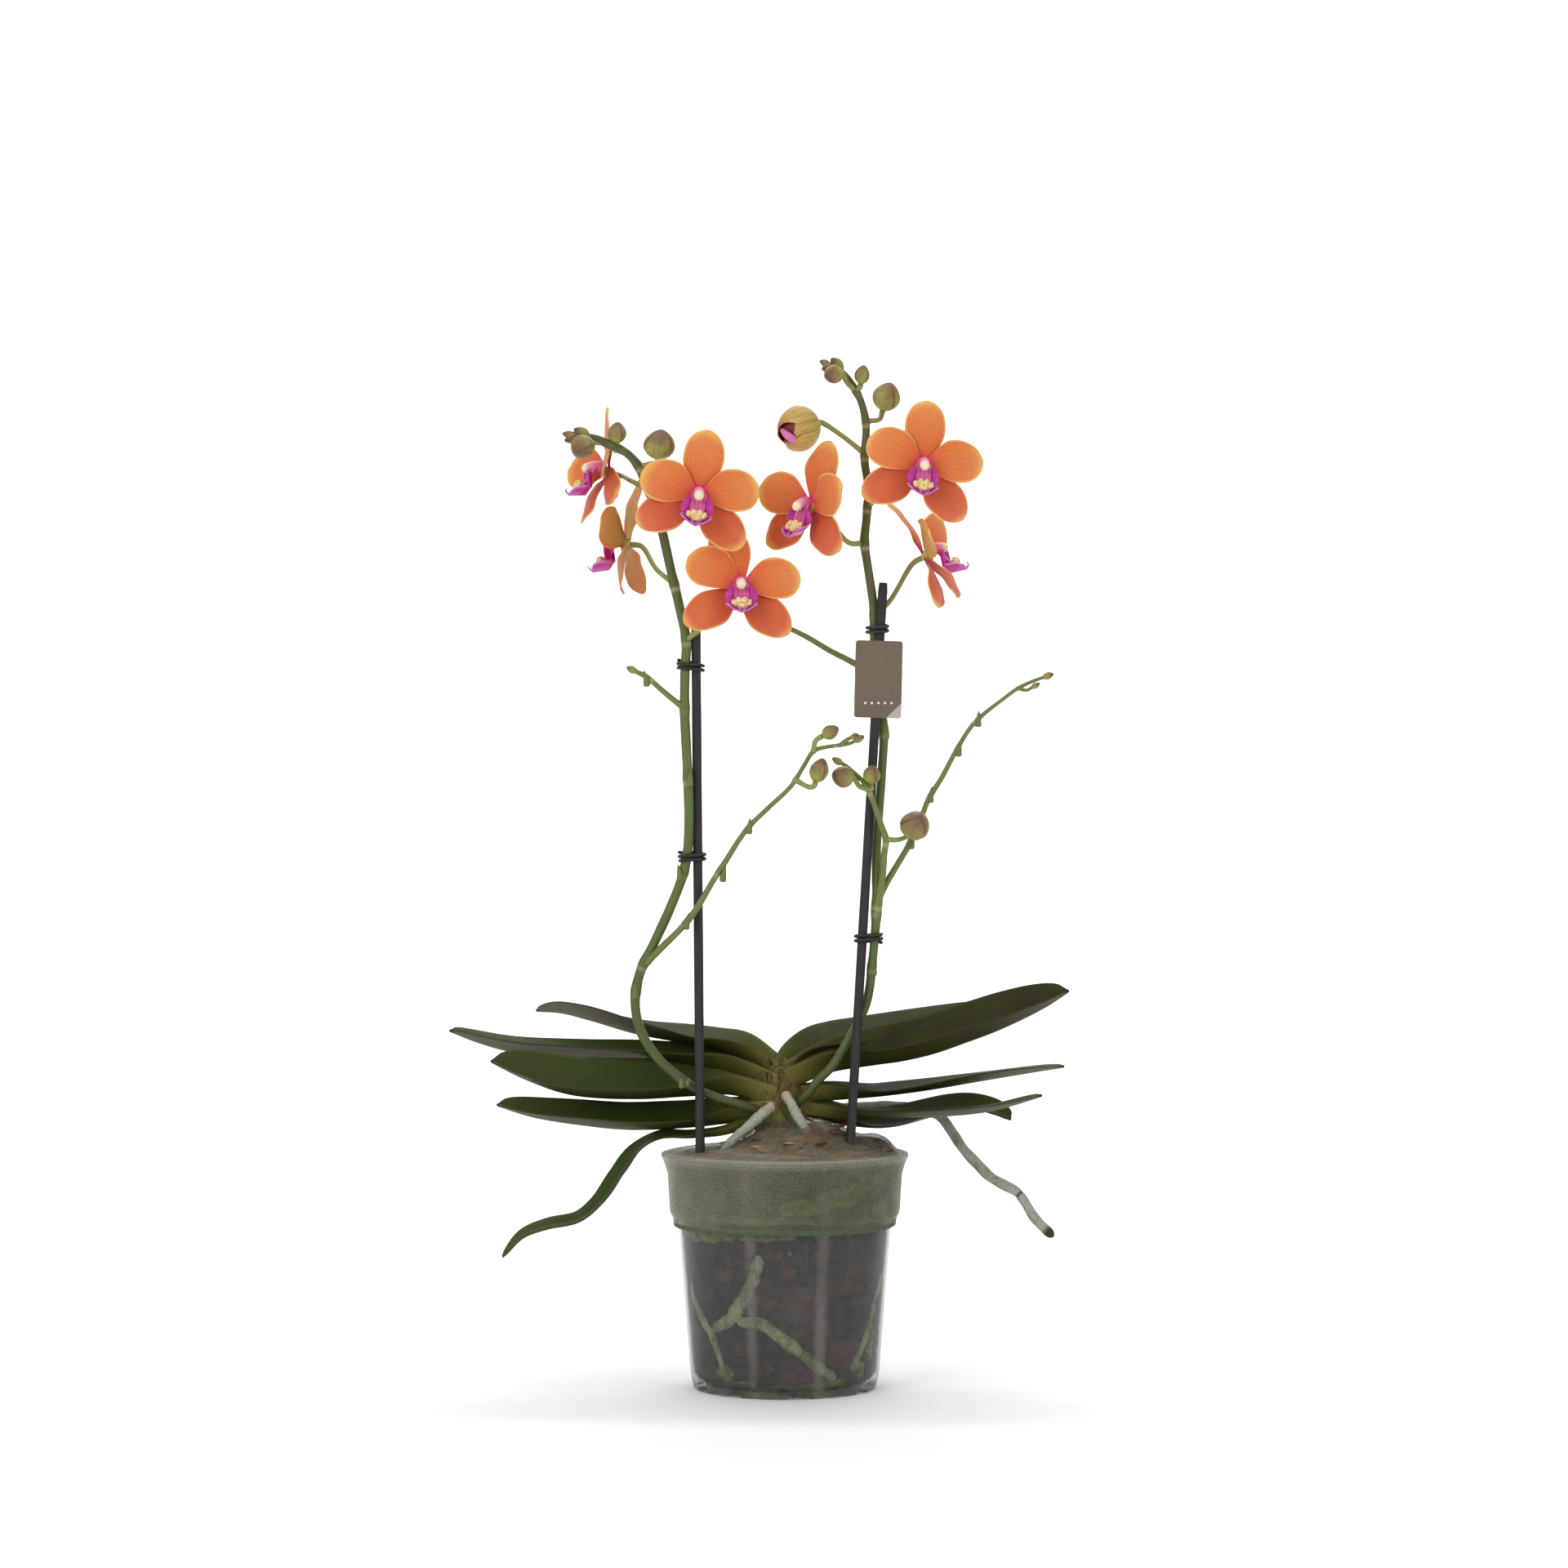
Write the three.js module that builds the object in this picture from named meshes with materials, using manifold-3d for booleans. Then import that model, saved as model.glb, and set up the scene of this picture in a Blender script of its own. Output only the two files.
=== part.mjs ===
// A potted moth orchid with two flower spikes, as it is sold: a clear 12 cm grower's pot with a foot ring
// and drain holes, bark that the roots run through, a fine net sleeve over the bark and the pot's collar, ten
// channelled leaves in two ranks on a short stem, two branching spikes tied to black stakes, seven open
// flowers, one that is opening, buds, and a blank care card.
//
// Millimetres, +Z up, origin at the middle of the pot's underside. The viewer stands at -Y, so +X is the
// viewer's right. Each piece is a mesh of its own, and neighbours keep a gap of about 0.3 mm.
import * as THREE from "three";
import { mergeVertices } from "three/addons/utils/BufferGeometryUtils.js";
import Module from "manifold-3d";

const wasm = await Module();
wasm.setup();

// ---------------------------------------------------------------- driving dimensions, mm
const GAP = 0.3; // between pieces that touch on the real plant

const POT_TURNS = 28; // facets round the pot, the net and the bark
const POT_WALL = 0.9;
const FOOT_RADIUS = 44.5;
const BASE_RADIUS = 46;
const STEP_HEIGHT = 76; // where the collar starts
const STEP_RADIUS = 51.8;
const COLLAR_RADIUS = 54;
const RIM_RADIUS = 59.2;
const RIM_HEIGHT = 114;
const FLOOR_HEIGHT = 3; // the drained floor, above the table
const CENTRE_FOOT = 15; // radius of the flat middle that the pot also stands on

const NET_THICK = 0.7;
const NET_HEM = 78; // height of the elastic hem
const MOUND_HEIGHT = 14.5; // of the bark above the rim
const MOUND_CENTRE = [7, -3];
const MOUND_REACH = [28, 26];

const STAKE_RADIUS = 2.3;
const TIE_WIRE = 0.85;
// The card hangs with its middle at a height on the stake, tilted by degrees. Its loop reaches back round the
// stake and the stem, below the card's middle.
const CARD = { width: 23, height: 37.5, thick: 0.8, corner: 1.5, at: 345.8, tilt: 1.5 };
const CARD_LOOP = { reach: 10.4, below: 7, half: 3.6, wide: 4.4 };

const rad = THREE.MathUtils.degToRad;
const clamp01 = (t) => Math.min(1, Math.max(0, t));
const smooth = (t) => clamp01(t) ** 2 * (3 - 2 * clamp01(t));
const V = (p) => new THREE.Vector3(...p);

// ---------------------------------------------------------------- solids
// A closed geometry as a solid that can be joined and cut, with its faces pointing out.
function solid(geometry) {
  const bare = new THREE.BufferGeometry().setAttribute("position", geometry.getAttribute("position"));
  if (geometry.index) bare.setIndex(geometry.index);
  const merged = mergeVertices(bare, 1e-4);
  const vertProperties = merged.getAttribute("position").array;
  const triVerts = new Uint32Array(merged.index.array);
  const made = new wasm.Manifold(new wasm.Mesh({ numProp: 3, vertProperties, triVerts }));
  if (made.volume() > 0) return made;
  triVerts.reverse();
  return new wasm.Manifold(new wasm.Mesh({ numProp: 3, vertProperties, triVerts }));
}

const join = (...solids) => solids.reduce((a, b) => a.add(b));
const cut = (body, cutters) => cutters.reduce((a, b) => a.subtract(b), body);

// The largest piece that a cut leaves, without scraps.
function largest(body) {
  const pieces = body.decompose();
  return pieces.sort((a, b) => b.volume() - a.volume())[0];
}

function geometryOf(body) {
  const made = body.getMesh();
  const flat = new THREE.BufferGeometry();
  flat.setAttribute("position", new THREE.BufferAttribute(new Float32Array(made.vertProperties), 3));
  flat.setIndex(new THREE.BufferAttribute(new Uint32Array(made.triVerts), 1));
  flat.computeVertexNormals();
  return flat;
}

function geometryFrom(points, faces) {
  const made = new THREE.BufferGeometry();
  const places = points.flatMap((p) => [p.x, p.y, p.z]);
  made.setAttribute("position", new THREE.Float32BufferAttribute(places, 3));
  made.setIndex(faces.flat());
  return made;
}

// A round rod along a smooth curve through points. radius(t) gives its radius from start, 0, to end, 1.
function rod(points, radius, sides = 7, steps = 8) {
  const curve = new THREE.CatmullRomCurve3(points.map(V), false, "centripetal");
  const frames = curve.computeFrenetFrames(steps, false);
  const verts = [];
  const faces = [];
  for (let i = 0; i <= steps; i++) {
    const t = i / steps;
    const middle = curve.getPointAt(t);
    for (let k = 0; k < sides; k++) {
      const turn = (2 * Math.PI * k) / sides;
      const out = frames.normals[i].clone().multiplyScalar(Math.cos(turn));
      out.addScaledVector(frames.binormals[i], Math.sin(turn));
      verts.push(middle.clone().addScaledVector(out, radius(t)));
    }
  }
  const first = verts.push(curve.getPointAt(0)) - 1;
  const last = verts.push(curve.getPointAt(1)) - 1;
  for (let k = 0; k < sides; k++) {
    const next = (k + 1) % sides;
    for (let i = 0; i < steps; i++) {
      const [a, b] = [i * sides + k, i * sides + next];
      faces.push([a, b, b + sides], [a, b + sides, a + sides]);
    }
    faces.push([first, next, k], [last, steps * sides + k, steps * sides + next]);
  }
  return solid(geometryFrom(verts, faces));
}

const even = (r) => () => r;
const taper = (from, to) => (t) => from + (to - from) * t;

// A thin curved blade: at(s, v) is its middle surface, s from base 0 to tip 1 and v from edge -1 to edge 1,
// and thick(s, v) its thickness. Both faces are split into triangles alike.
function blade(at, thick, along = 8, across = 4, skew = 0) {
  const step = 1e-3;
  const [front, back] = [[], []];
  for (let i = 0; i <= along; i++)
    for (let j = 0; j <= across; j++) {
      const s = i / along;
      const eased = s + (skew * Math.sin(Math.PI * s)) / Math.PI;
      const v = (2 * j) / across - 1;
      const here = at(eased, v);
      const ds = at(Math.min(1, eased + step), v).sub(at(Math.max(0, eased - step), v));
      const dv = at(eased, Math.min(1, v + step)).sub(at(eased, Math.max(-1, v - step)));
      const normal = dv.cross(ds).normalize();
      const half = thick(eased, v) / 2;
      front.push(here.clone().addScaledVector(normal, half));
      back.push(here.clone().addScaledVector(normal, -half));
    }
  const row = across + 1;
  const under = front.length;
  const faces = [];
  for (let i = 0; i < along; i++)
    for (let j = 0; j < across; j++) {
      const [a, b] = [i * row + j, under + i * row + j];
      faces.push([a, a + 1, a + row + 1], [a, a + row + 1, a + row]);
      faces.push([b, b + row + 1, b + 1], [b, b + row, b + row + 1]);
    }
  const edge = [];
  for (let j = 0; j < across; j++) edge.push(j);
  for (let i = 0; i < along; i++) edge.push(i * row + across);
  for (let j = across; j > 0; j--) edge.push(along * row + j);
  for (let i = along; i > 0; i--) edge.push(i * row);
  edge.forEach((a, k) => {
    const b = edge[(k + 1) % edge.length];
    faces.push([a, under + a, b], [b, under + a, under + b]);
  });
  return solid(geometryFrom([...front, ...back], faces));
}

// A closed profile of [radius, height] turned about Z.
function turned(profile, turns = POT_TURNS) {
  const made = new THREE.LatheGeometry(profile.map(([r, z]) => new THREE.Vector2(r, z)), turns);
  return made.rotateX(Math.PI / 2);
}

// ---------------------------------------------------------------- pot
// Outer radius of the pot at a height.
function potRadius(z) {
  if (z < 6) return FOOT_RADIUS + ((BASE_RADIUS - FOOT_RADIUS) * z) / 6;
  if (z < STEP_HEIGHT) return BASE_RADIUS + ((STEP_RADIUS - BASE_RADIUS) * (z - 6)) / (STEP_HEIGHT - 6);
  const up = (z - STEP_HEIGHT - 3) / (RIM_HEIGHT - 10 - STEP_HEIGHT - 3);
  return COLLAR_RADIUS + 2.2 * clamp01(up);
}

function pot() {
  const wall = POT_WALL;
  const outer = [
    [0, 0],
    [CENTRE_FOOT - 2, 0],
    [CENTRE_FOOT, FLOOR_HEIGHT],
    [FOOT_RADIUS - 5, FLOOR_HEIGHT],
    [FOOT_RADIUS - 4, 0],
    [FOOT_RADIUS, 0],
    [potRadius(6), 6],
    [potRadius(STEP_HEIGHT - 0.01), STEP_HEIGHT],
    [COLLAR_RADIUS, STEP_HEIGHT + 3],
    [potRadius(RIM_HEIGHT - 10), RIM_HEIGHT - 10],
    [RIM_RADIUS - 1.4, RIM_HEIGHT - 4],
    [RIM_RADIUS, RIM_HEIGHT],
  ];
  const inner = [
    [RIM_RADIUS - 1.6, RIM_HEIGHT],
    [RIM_RADIUS - 2.6, RIM_HEIGHT - 4],
    [potRadius(RIM_HEIGHT - 10) - wall, RIM_HEIGHT - 10],
    [COLLAR_RADIUS - wall, STEP_HEIGHT + 3.4],
    [potRadius(STEP_HEIGHT - 0.01) - wall, STEP_HEIGHT + 0.4],
    [potRadius(6) - wall, FLOOR_HEIGHT + 4.5],
    [FOOT_RADIUS - 1.5 - wall, FLOOR_HEIGHT + 1.5],
    [CENTRE_FOOT - 1, FLOOR_HEIGHT + 1.5],
    [CENTRE_FOOT - 3, 1.5],
    [0, 1.5],
  ];
  const drains = [];
  const count = 8;
  for (let k = 0; k < count; k++) {
    const slot = new THREE.BoxGeometry(12, 4.5, 6);
    slot.translate(27, 0, FLOOR_HEIGHT + 1);
    slot.rotateZ((2 * Math.PI * (k + 0.5)) / count);
    drains.push(solid(slot));
    const notch = new THREE.BoxGeometry(8, 9, 3);
    notch.translate(FOOT_RADIUS - 2, 0, 0);
    notch.rotateZ((2 * Math.PI * (k + 0.25)) / count);
    drains.push(solid(notch));
  }
  return cut(solid(turned([...outer, ...inner])), drains);
}

// ---------------------------------------------------------------- net sleeve and bark
// How far the netted bark rises over the rim's level at a place: a flat-topped mound round the plant's
// neck.
function mound(x, y) {
  const r = Math.hypot(x, y);
  const off = Math.hypot((x - MOUND_CENTRE[0]) / MOUND_REACH[0], (y - MOUND_CENTRE[1]) / MOUND_REACH[1]);
  const ripple = 0.8 * Math.sin(0.21 * x + 1.3) * Math.cos(0.17 * y - 0.4);
  const rise = MOUND_HEIGHT / (1 + off ** 4.5) + ripple;
  return rise * (1 - smooth((r - 40) / 15));
}

// Lifts the points of a geometry that are over a height by the mound.
function heaped(geometry, from) {
  const places = geometry.getAttribute("position");
  for (let i = 0; i < places.count; i++) {
    const z = places.getZ(i);
    if (z > from) places.setZ(i, z + mound(places.getX(i), places.getY(i)));
  }
  return geometry;
}

const TOP_RINGS = [49, 38, 27, 15];

function netSleeve(holes) {
  const t = NET_THICK;
  const out = GAP + t;
  const rimTop = RIM_HEIGHT + out;
  const outer = [
    [potRadius(NET_HEM) + GAP + 2.1, NET_HEM - 1],
    [potRadius(NET_HEM + 3) + GAP + 2, NET_HEM + 1.6],
    [potRadius(84) + out + 0.2, 84],
    [potRadius(RIM_HEIGHT - 10) + out, RIM_HEIGHT - 9.5],
    [RIM_RADIUS - 1.4 + out, RIM_HEIGHT - 4.5],
    [RIM_RADIUS + out, RIM_HEIGHT + 0.3],
    [RIM_RADIUS - 0.9, rimTop],
    ...TOP_RINGS.map((r) => [r, rimTop]),
  ];
  const inner = [
    ...TOP_RINGS.map((r) => [r, rimTop - t]).reverse(),
    [RIM_RADIUS - 0.9, rimTop - t],
    [RIM_RADIUS + GAP, RIM_HEIGHT],
    [RIM_RADIUS - 1.4 + GAP + 0.1, RIM_HEIGHT - 4.3],
    [potRadius(RIM_HEIGHT - 10) + GAP + 0.1, RIM_HEIGHT - 9.5],
    [potRadius(84) + GAP + 0.1, 84],
    [potRadius(NET_HEM + 3) + GAP + 0.1, NET_HEM + 1.6],
    [COLLAR_RADIUS - 0.2, NET_HEM - 1],
  ];
  const sleeve = turned([...outer, ...inner, outer[0]]);
  return largest(cut(solid(heaped(sleeve, RIM_HEIGHT + 0.2)), holes));
}

function bark(holes) {
  const slack = GAP + 0.15;
  const top = RIM_HEIGHT - 0.9;
  const inside = (z) => potRadius(z) - POT_WALL - slack;
  const profile = [
    [0, FLOOR_HEIGHT + 1.5 + slack],
    [FOOT_RADIUS - 2.4 - POT_WALL, FLOOR_HEIGHT + 1.5 + slack],
    [inside(8), FLOOR_HEIGHT + 5.5],
    [inside(30), 30],
    [inside(54), 54],
    [inside(STEP_HEIGHT - 0.5), STEP_HEIGHT],
    [COLLAR_RADIUS - POT_WALL - slack, STEP_HEIGHT + 4.2],
    [inside(RIM_HEIGHT - 10), RIM_HEIGHT - 10.5],
    [RIM_RADIUS - 4.4, RIM_HEIGHT - 3],
    [RIM_RADIUS - 5.6, top],
    ...TOP_RINGS.map((r) => [r, top]),
    [0, top],
  ];
  return largest(cut(solid(heaped(turned(profile), top - 0.1)), holes));
}

// ---------------------------------------------------------------- stem, leaves and roots
// The short stem that everything grows from. It stands in a plain hole in the bark.
const STEM_MIDDLE = [-2, 0];
function stem(grow = 0) {
  const profile = [
    [0, 104 - grow],
    [4 + grow, 104.5 - grow],
    [7 + grow, 110],
    [8 + grow, 122],
    [9 + grow, 132],
    [8 + grow, 142],
    [6.5 + grow, 150],
    [3.5 + grow, 156 + grow],
    [0, 157.5 + grow],
  ];
  return solid(turned(profile, 12).scale(1.15, 0.9, 1).translate(...STEM_MIDDLE, 0));
}

// Each leaf is channelled along its keel. keel holds the keel's points from the stem to the tip, half its
// half width, fold how far each half is raised from level, and roll how far the leaf leans towards the viewer
// at its base and at its tip.
const LEAVES = {
  leaf_left_1: {
    half: 17, fold: 27, roll: [8, -14],
    keel: [
      [-7, 6, 153], [-24, 15, 162], [-48, 28, 166.5], [-74, 39, 170.5], [-98, 48, 176.8],
      [-113, 53, 180.3], [-125, 56, 181],
    ],
  },
  leaf_left_2: {
    half: 19, fold: 28, roll: [4, 4],
    keel: [
      [-8, 2, 146], [-26, 9, 153], [-48, 16, 156.6], [-72, 20, 158.2], [-100, 20.5, 159.2],
      [-134, 18, 162.8], [-152, 15, 168], [-165, 12, 173.5],
    ],
  },
  leaf_left_3: {
    half: 23, fold: 40, roll: [14, 28],
    keel: [
      [-9, -1, 139], [-26, 2, 143.5], [-46, 1, 143], [-72, -5, 142], [-104, -10.5, 144.6],
      [-125, -11, 151.6], [-143, -10.5, 160],
    ],
  },
  leaf_left_4: {
    half: 19, fold: 30, roll: [10, 15],
    keel: [
      [-9, -3, 132], [-26, -1, 130], [-48, -3, 127.8], [-76, -9, 127.2], [-100, -12, 129.8],
      [-122, -13, 133.5], [-140, -12, 138.8],
    ],
  },
  leaf_left_5: {
    half: 7, fold: 14, roll: [0, 30], steps: 13,
    keel: [
      [-9, -4, 130.5], [-19, -9, 128], [-30, -13, 125], [-46, -14, 123.6], [-60.5, -14, 123.2],
      [-71.3, -14, 117.4], [-80.5, -16, 105.6], [-89.5, -18, 92.7], [-99.8, -19, 84.2],
      [-115.6, -19, 80.8], [-127.5, -18, 76], [-137, -17, 65.5],
    ],
  },
  leaf_right_1: {
    half: 23, fold: 44, roll: [14, 25],
    keel: [
      [6, 1, 148], [22, 3, 154.3], [44, 3, 158], [57, 2, 159.8], [72, 0, 163.3], [88, -2, 169],
      [101, -4, 174], [115, -5, 180.3], [127, -6, 186.6], [138.5, -6, 194],
    ],
  },
  leaf_right_2: {
    half: 19, fold: 27, roll: [14, 12],
    keel: [
      [0, 3, 150], [6, 9, 156.5], [20, 18, 163.2], [44, 32, 167.3], [68, 39, 171.8], [92, 43, 177.2],
      [114, 44, 182.2],
    ],
  },
  leaf_right_3: {
    half: 16, fold: 16, roll: [3, -2],
    keel: [
      [8, 4, 139.5], [24, 8, 140.4], [48, 11, 142], [70, 13, 144.5], [90, 14, 147.8], [112, 14, 151.5],
      [137.5, 13, 155.8],
    ],
  },
  leaf_right_4: {
    half: 16.5, fold: 19, roll: [10, 15],
    keel: [
      [8, 3, 133.5], [24, 5, 129.5], [42, 8, 127], [51, 8.5, 127.2], [60, 9, 128.8], [70, 8.5, 131.6],
      [80, 7.5, 134.4], [90, 6, 135.8], [100, 4, 135], [107, 2, 132.8], [110.5, 1, 130.6],
    ],
  },
  leaf_right_5: {
    half: 12, fold: 17, roll: [0, 0],
    keel: [
      [8, -2, 134], [22, -3.5, 132.4], [38, -5.5, 131.6], [58, -11, 133], [80, -16, 134.2],
      [98, -19, 136.4], [112, -20, 140], [124.5, -20, 144],
    ],
  },
};

// Share of the half width at s along a leaf: a narrow folded stalk, a broad middle and a short pointed tip.
function leafOutline(s) {
  const open = 0.36 + 0.64 * smooth(s / 0.42);
  const close = s < 0.55 ? 1 : Math.sqrt(Math.max(0, 1 - ((s - 0.55) / 0.45) ** 2.1));
  return Math.max(0.035, open * close);
}

// The middle surface of a leaf, from its keel.
function leafSurface({ keel, half, fold, roll }) {
  const curve = new THREE.CatmullRomCurve3(keel.map(V), false, "centripetal");
  const toLeft = keel[keel.length - 1][0] < 0;
  return (s, v) => {
    const along = curve.getTangentAt(s);
    const side = new THREE.Vector3(0, 0, 1).cross(along).normalize().multiplyScalar(toLeft ? 1 : -1);
    const up = side.clone().cross(along).multiplyScalar(toLeft ? -1 : 1);
    if (up.z < 0) up.negate();
    const lean = rad(roll[0] + (roll[1] - roll[0]) * smooth(s));
    const near = side.clone().multiplyScalar(Math.cos(lean)).addScaledVector(up, -Math.sin(lean));
    const face = up.clone().multiplyScalar(Math.cos(lean)).addScaledVector(side, Math.sin(lean));
    const raise = rad(fold + (62 - fold) * (1 - smooth(s / 0.3)));
    const width = half * leafOutline(s);
    const bend = Math.sqrt(v * v + 0.03) - Math.sqrt(0.03);
    const point = curve.getPointAt(s).addScaledVector(near, width * v * Math.cos(raise));
    return point.addScaledVector(face, width * bend * Math.sin(raise));
  };
}

function leaf(shape, grow = 0) {
  const thick = (s, v) => (1 - 0.45 * Math.abs(v)) * (2.6 - 1.1 * smooth(s / 0.5)) + 2 * grow;
  return blade(leafSurface({ ...shape, half: shape.half + grow }), thick, shape.steps ?? 9, 2);
}

// Roots: white ones that bend over the net into the bark, one long one in the air, and those in the pot.
const ROOTS = {
  root_front_left: {
    radius: [2.7, 1.9], steps: 6,
    path: [
      [-6.5, -9.5, 139], [-11, -14, 137], [-17, -18, 131.5], [-24, -20, 125], [-30, -19, 117],
      [-33, -16, 106],
    ],
  },
  root_front_right: {
    radius: [2.5, 2.1], steps: 6,
    path: [
      [0.5, -10, 143], [3, -14, 139.5], [6, -16.5, 134], [9.5, -17.5, 128], [12, -17, 118],
      [14, -16, 106],
    ],
  },
  root_in_air: {
    radius: [2.9, 2.5], steps: 15,
    path: [
      [1, 4, 133], [8, 12, 134], [20, 22, 133.5], [42, 34, 134], [62, 36, 133.5], [76.5, 32, 130], [83.5, 29, 121.5],
      [88.5, 27, 114], [96.5, 25, 105.5], [101.5, 24, 100.5], [108.5, 22, 96.5], [115, 21, 93],
      [118.5, 20, 88.5], [123.5, 18, 80.5], [130, 16, 74],
    ],
  },
};

// A root in the pot leaves the stem at an angle, runs out through the bark and then down along the wall.
// wall holds its places there as [degrees round from +X, height].
const POT_ROOTS = {
  root_in_pot_1: {
    radius: 3.3, leaves: 232,
    wall: [
      [249, 69], [246, 60], [241, 50], [235, 42], [226, 35],
    ],
  },
  root_in_pot_2: {
    radius: 3.5, leaves: 290,
    wall: [
      [250, 33], [261, 30], [272, 24], [284, 16], [295, 12],
    ],
  },
  root_in_pot_3: { radius: 2.4, leaves: 183, wall: [[190, 60], [201, 42], [212, 27], [222, 14]] },
  root_in_pot_4: { radius: 2.6, leaves: 340, wall: [[352, 66], [345, 50], [332, 30], [320, 14]] },
  root_in_pot_5: { radius: 2.8, leaves: 50, wall: [[50, 70], [66, 56], [88, 40], [114, 26], [134, 14]] },
};

const WALL_SLACK = 1; // from a root's side to the pot's wall, between its points
function potRootPath({ radius, leaves, wall }) {
  const onWall = wall.map(([turn, z]) => {
    const r = potRadius(z) - POT_WALL - radius - WALL_SLACK;
    return [r * Math.cos(rad(turn)), r * Math.sin(rad(turn)), z];
  });
  const out = [Math.cos(rad(leaves)), Math.sin(rad(leaves))];
  const start = [STEM_MIDDLE[0] + out[0] * 8.5, STEM_MIDDLE[1] + out[1] * 7, 109];
  const [[x, y, z]] = onWall;
  return [start, [(x + 12 * out[0]) / 2, (y + 12 * out[1]) / 2, (z + 118) / 2], ...onWall];
}

const rootSolid = ({ radius, path, steps }, grow = 0) =>
  rod(path, (t) => grow + (t > 0.985 ? 0.55 : 1) * (radius[0] + (radius[1] - radius[0]) * t), 5, steps);

// ---------------------------------------------------------------- stakes, ties and card
const STAKES = {
  stake_left: [[-40.4, -20.6, 45], [-43, -27.4, 375.3]],
  stake_right: [[27.3, -21, 45], [47.9, -14, 392.8]],
};

function alongStake(name, z) {
  const [low, high] = STAKES[name];
  const share = (z - low[2]) / (high[2] - low[2]);
  return low.map((c, k) => c + (high[k] - c) * share);
}

const stake = (ends, grow = 0) => rod(ends, even(STAKE_RADIUS + grow), 8, 1);

// A sprung ring of two turns that holds a stem to its stake: the wire runs round both, as on a racetrack.
function tie({ on, height, stem: held, lean }) {
  const centre = V(alongStake(on, height));
  const other = V(held);
  const apart = new THREE.Vector2(other.x - centre.x, other.y - centre.y);
  const facing = Math.atan2(apart.y, apart.x);
  const around = STAKE_RADIUS + TIE_WIRE + GAP;
  const path = [];
  const [steps, turns] = [18, 1.9];
  for (let k = 0; k <= steps; k++) {
    const turn = (2 * Math.PI * turns * k) / steps;
    const side = Math.cos(turn);
    const middle = side > 0 ? other : centre;
    path.push([
      middle.x + around * Math.cos(turn + facing),
      middle.y + around * Math.sin(turn + facing),
      height + 2.15 * (k / steps - 0.5) * turns + lean * side,
    ]);
  }
  return rod(path, even(TIE_WIRE), 4, 20);
}

// The care card, with rounded corners, and the loop at its back that goes round the stake and the stem.
function card(centre) {
  const { width, height, thick, corner, tilt } = CARD;
  const [w, h, c] = [width / 2, height / 2, corner];
  const outline = new THREE.Shape();
  outline.moveTo(-w + c, -h);
  outline.lineTo(w - c, -h).quadraticCurveTo(w, -h, w, -h + c);
  outline.lineTo(w, h - c).quadraticCurveTo(w, h, w - c, h);
  outline.lineTo(-w + c, h).quadraticCurveTo(-w, h, -w, h - c);
  outline.lineTo(-w, -h + c).quadraticCurveTo(-w, -h, -w + c, -h);
  const sheet = new THREE.ExtrudeGeometry(outline, { depth: thick, bevelEnabled: false, curveSegments: 3 });
  const loop = new THREE.Shape();
  const { reach: deep, below, half, wide } = CARD_LOOP;
  loop.moveTo(-half - thick, 0).lineTo(-half - thick, -deep - thick).lineTo(half + thick, -deep - thick);
  loop.lineTo(half + thick, 0).lineTo(half, 0.1).lineTo(half, -deep);
  loop.lineTo(-half, -deep).lineTo(-half, 0.1);
  const strap = new THREE.ExtrudeGeometry(loop, { depth: wide, bevelEnabled: false });
  strap.rotateX(Math.PI / 2).translate(0, 2.5 - below, 0.2);
  [sheet, strap].forEach((piece) => piece.rotateX(Math.PI / 2).rotateY(rad(tilt)).translate(...centre));
  return join(solid(sheet), solid(strap));
}

// ---------------------------------------------------------------- spikes
// A flower's middle and the three directions it is built on. turn is how far it looks to the viewer's right,
// nod how far up, and spin how far it is turned clockwise.
function flowerFrame({ at, turn, nod, spin }) {
  const [a, b, c] = [rad(turn), rad(nod), rad(spin)];
  const front = new THREE.Vector3(Math.sin(a) * Math.cos(b), -Math.cos(a) * Math.cos(b), Math.sin(b));
  const level = new THREE.Vector3(Math.cos(a), Math.sin(a), 0);
  const high = front.clone().cross(level);
  const up = high.clone().multiplyScalar(Math.cos(c)).addScaledVector(level, Math.sin(c));
  const right = level.clone().multiplyScalar(Math.cos(c)).addScaledVector(high, -Math.sin(c));
  return { middle: V(at), front, up, right };
}

const FLOWER_BACK = 3.4; // from a flower's middle back to its stalk
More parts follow.
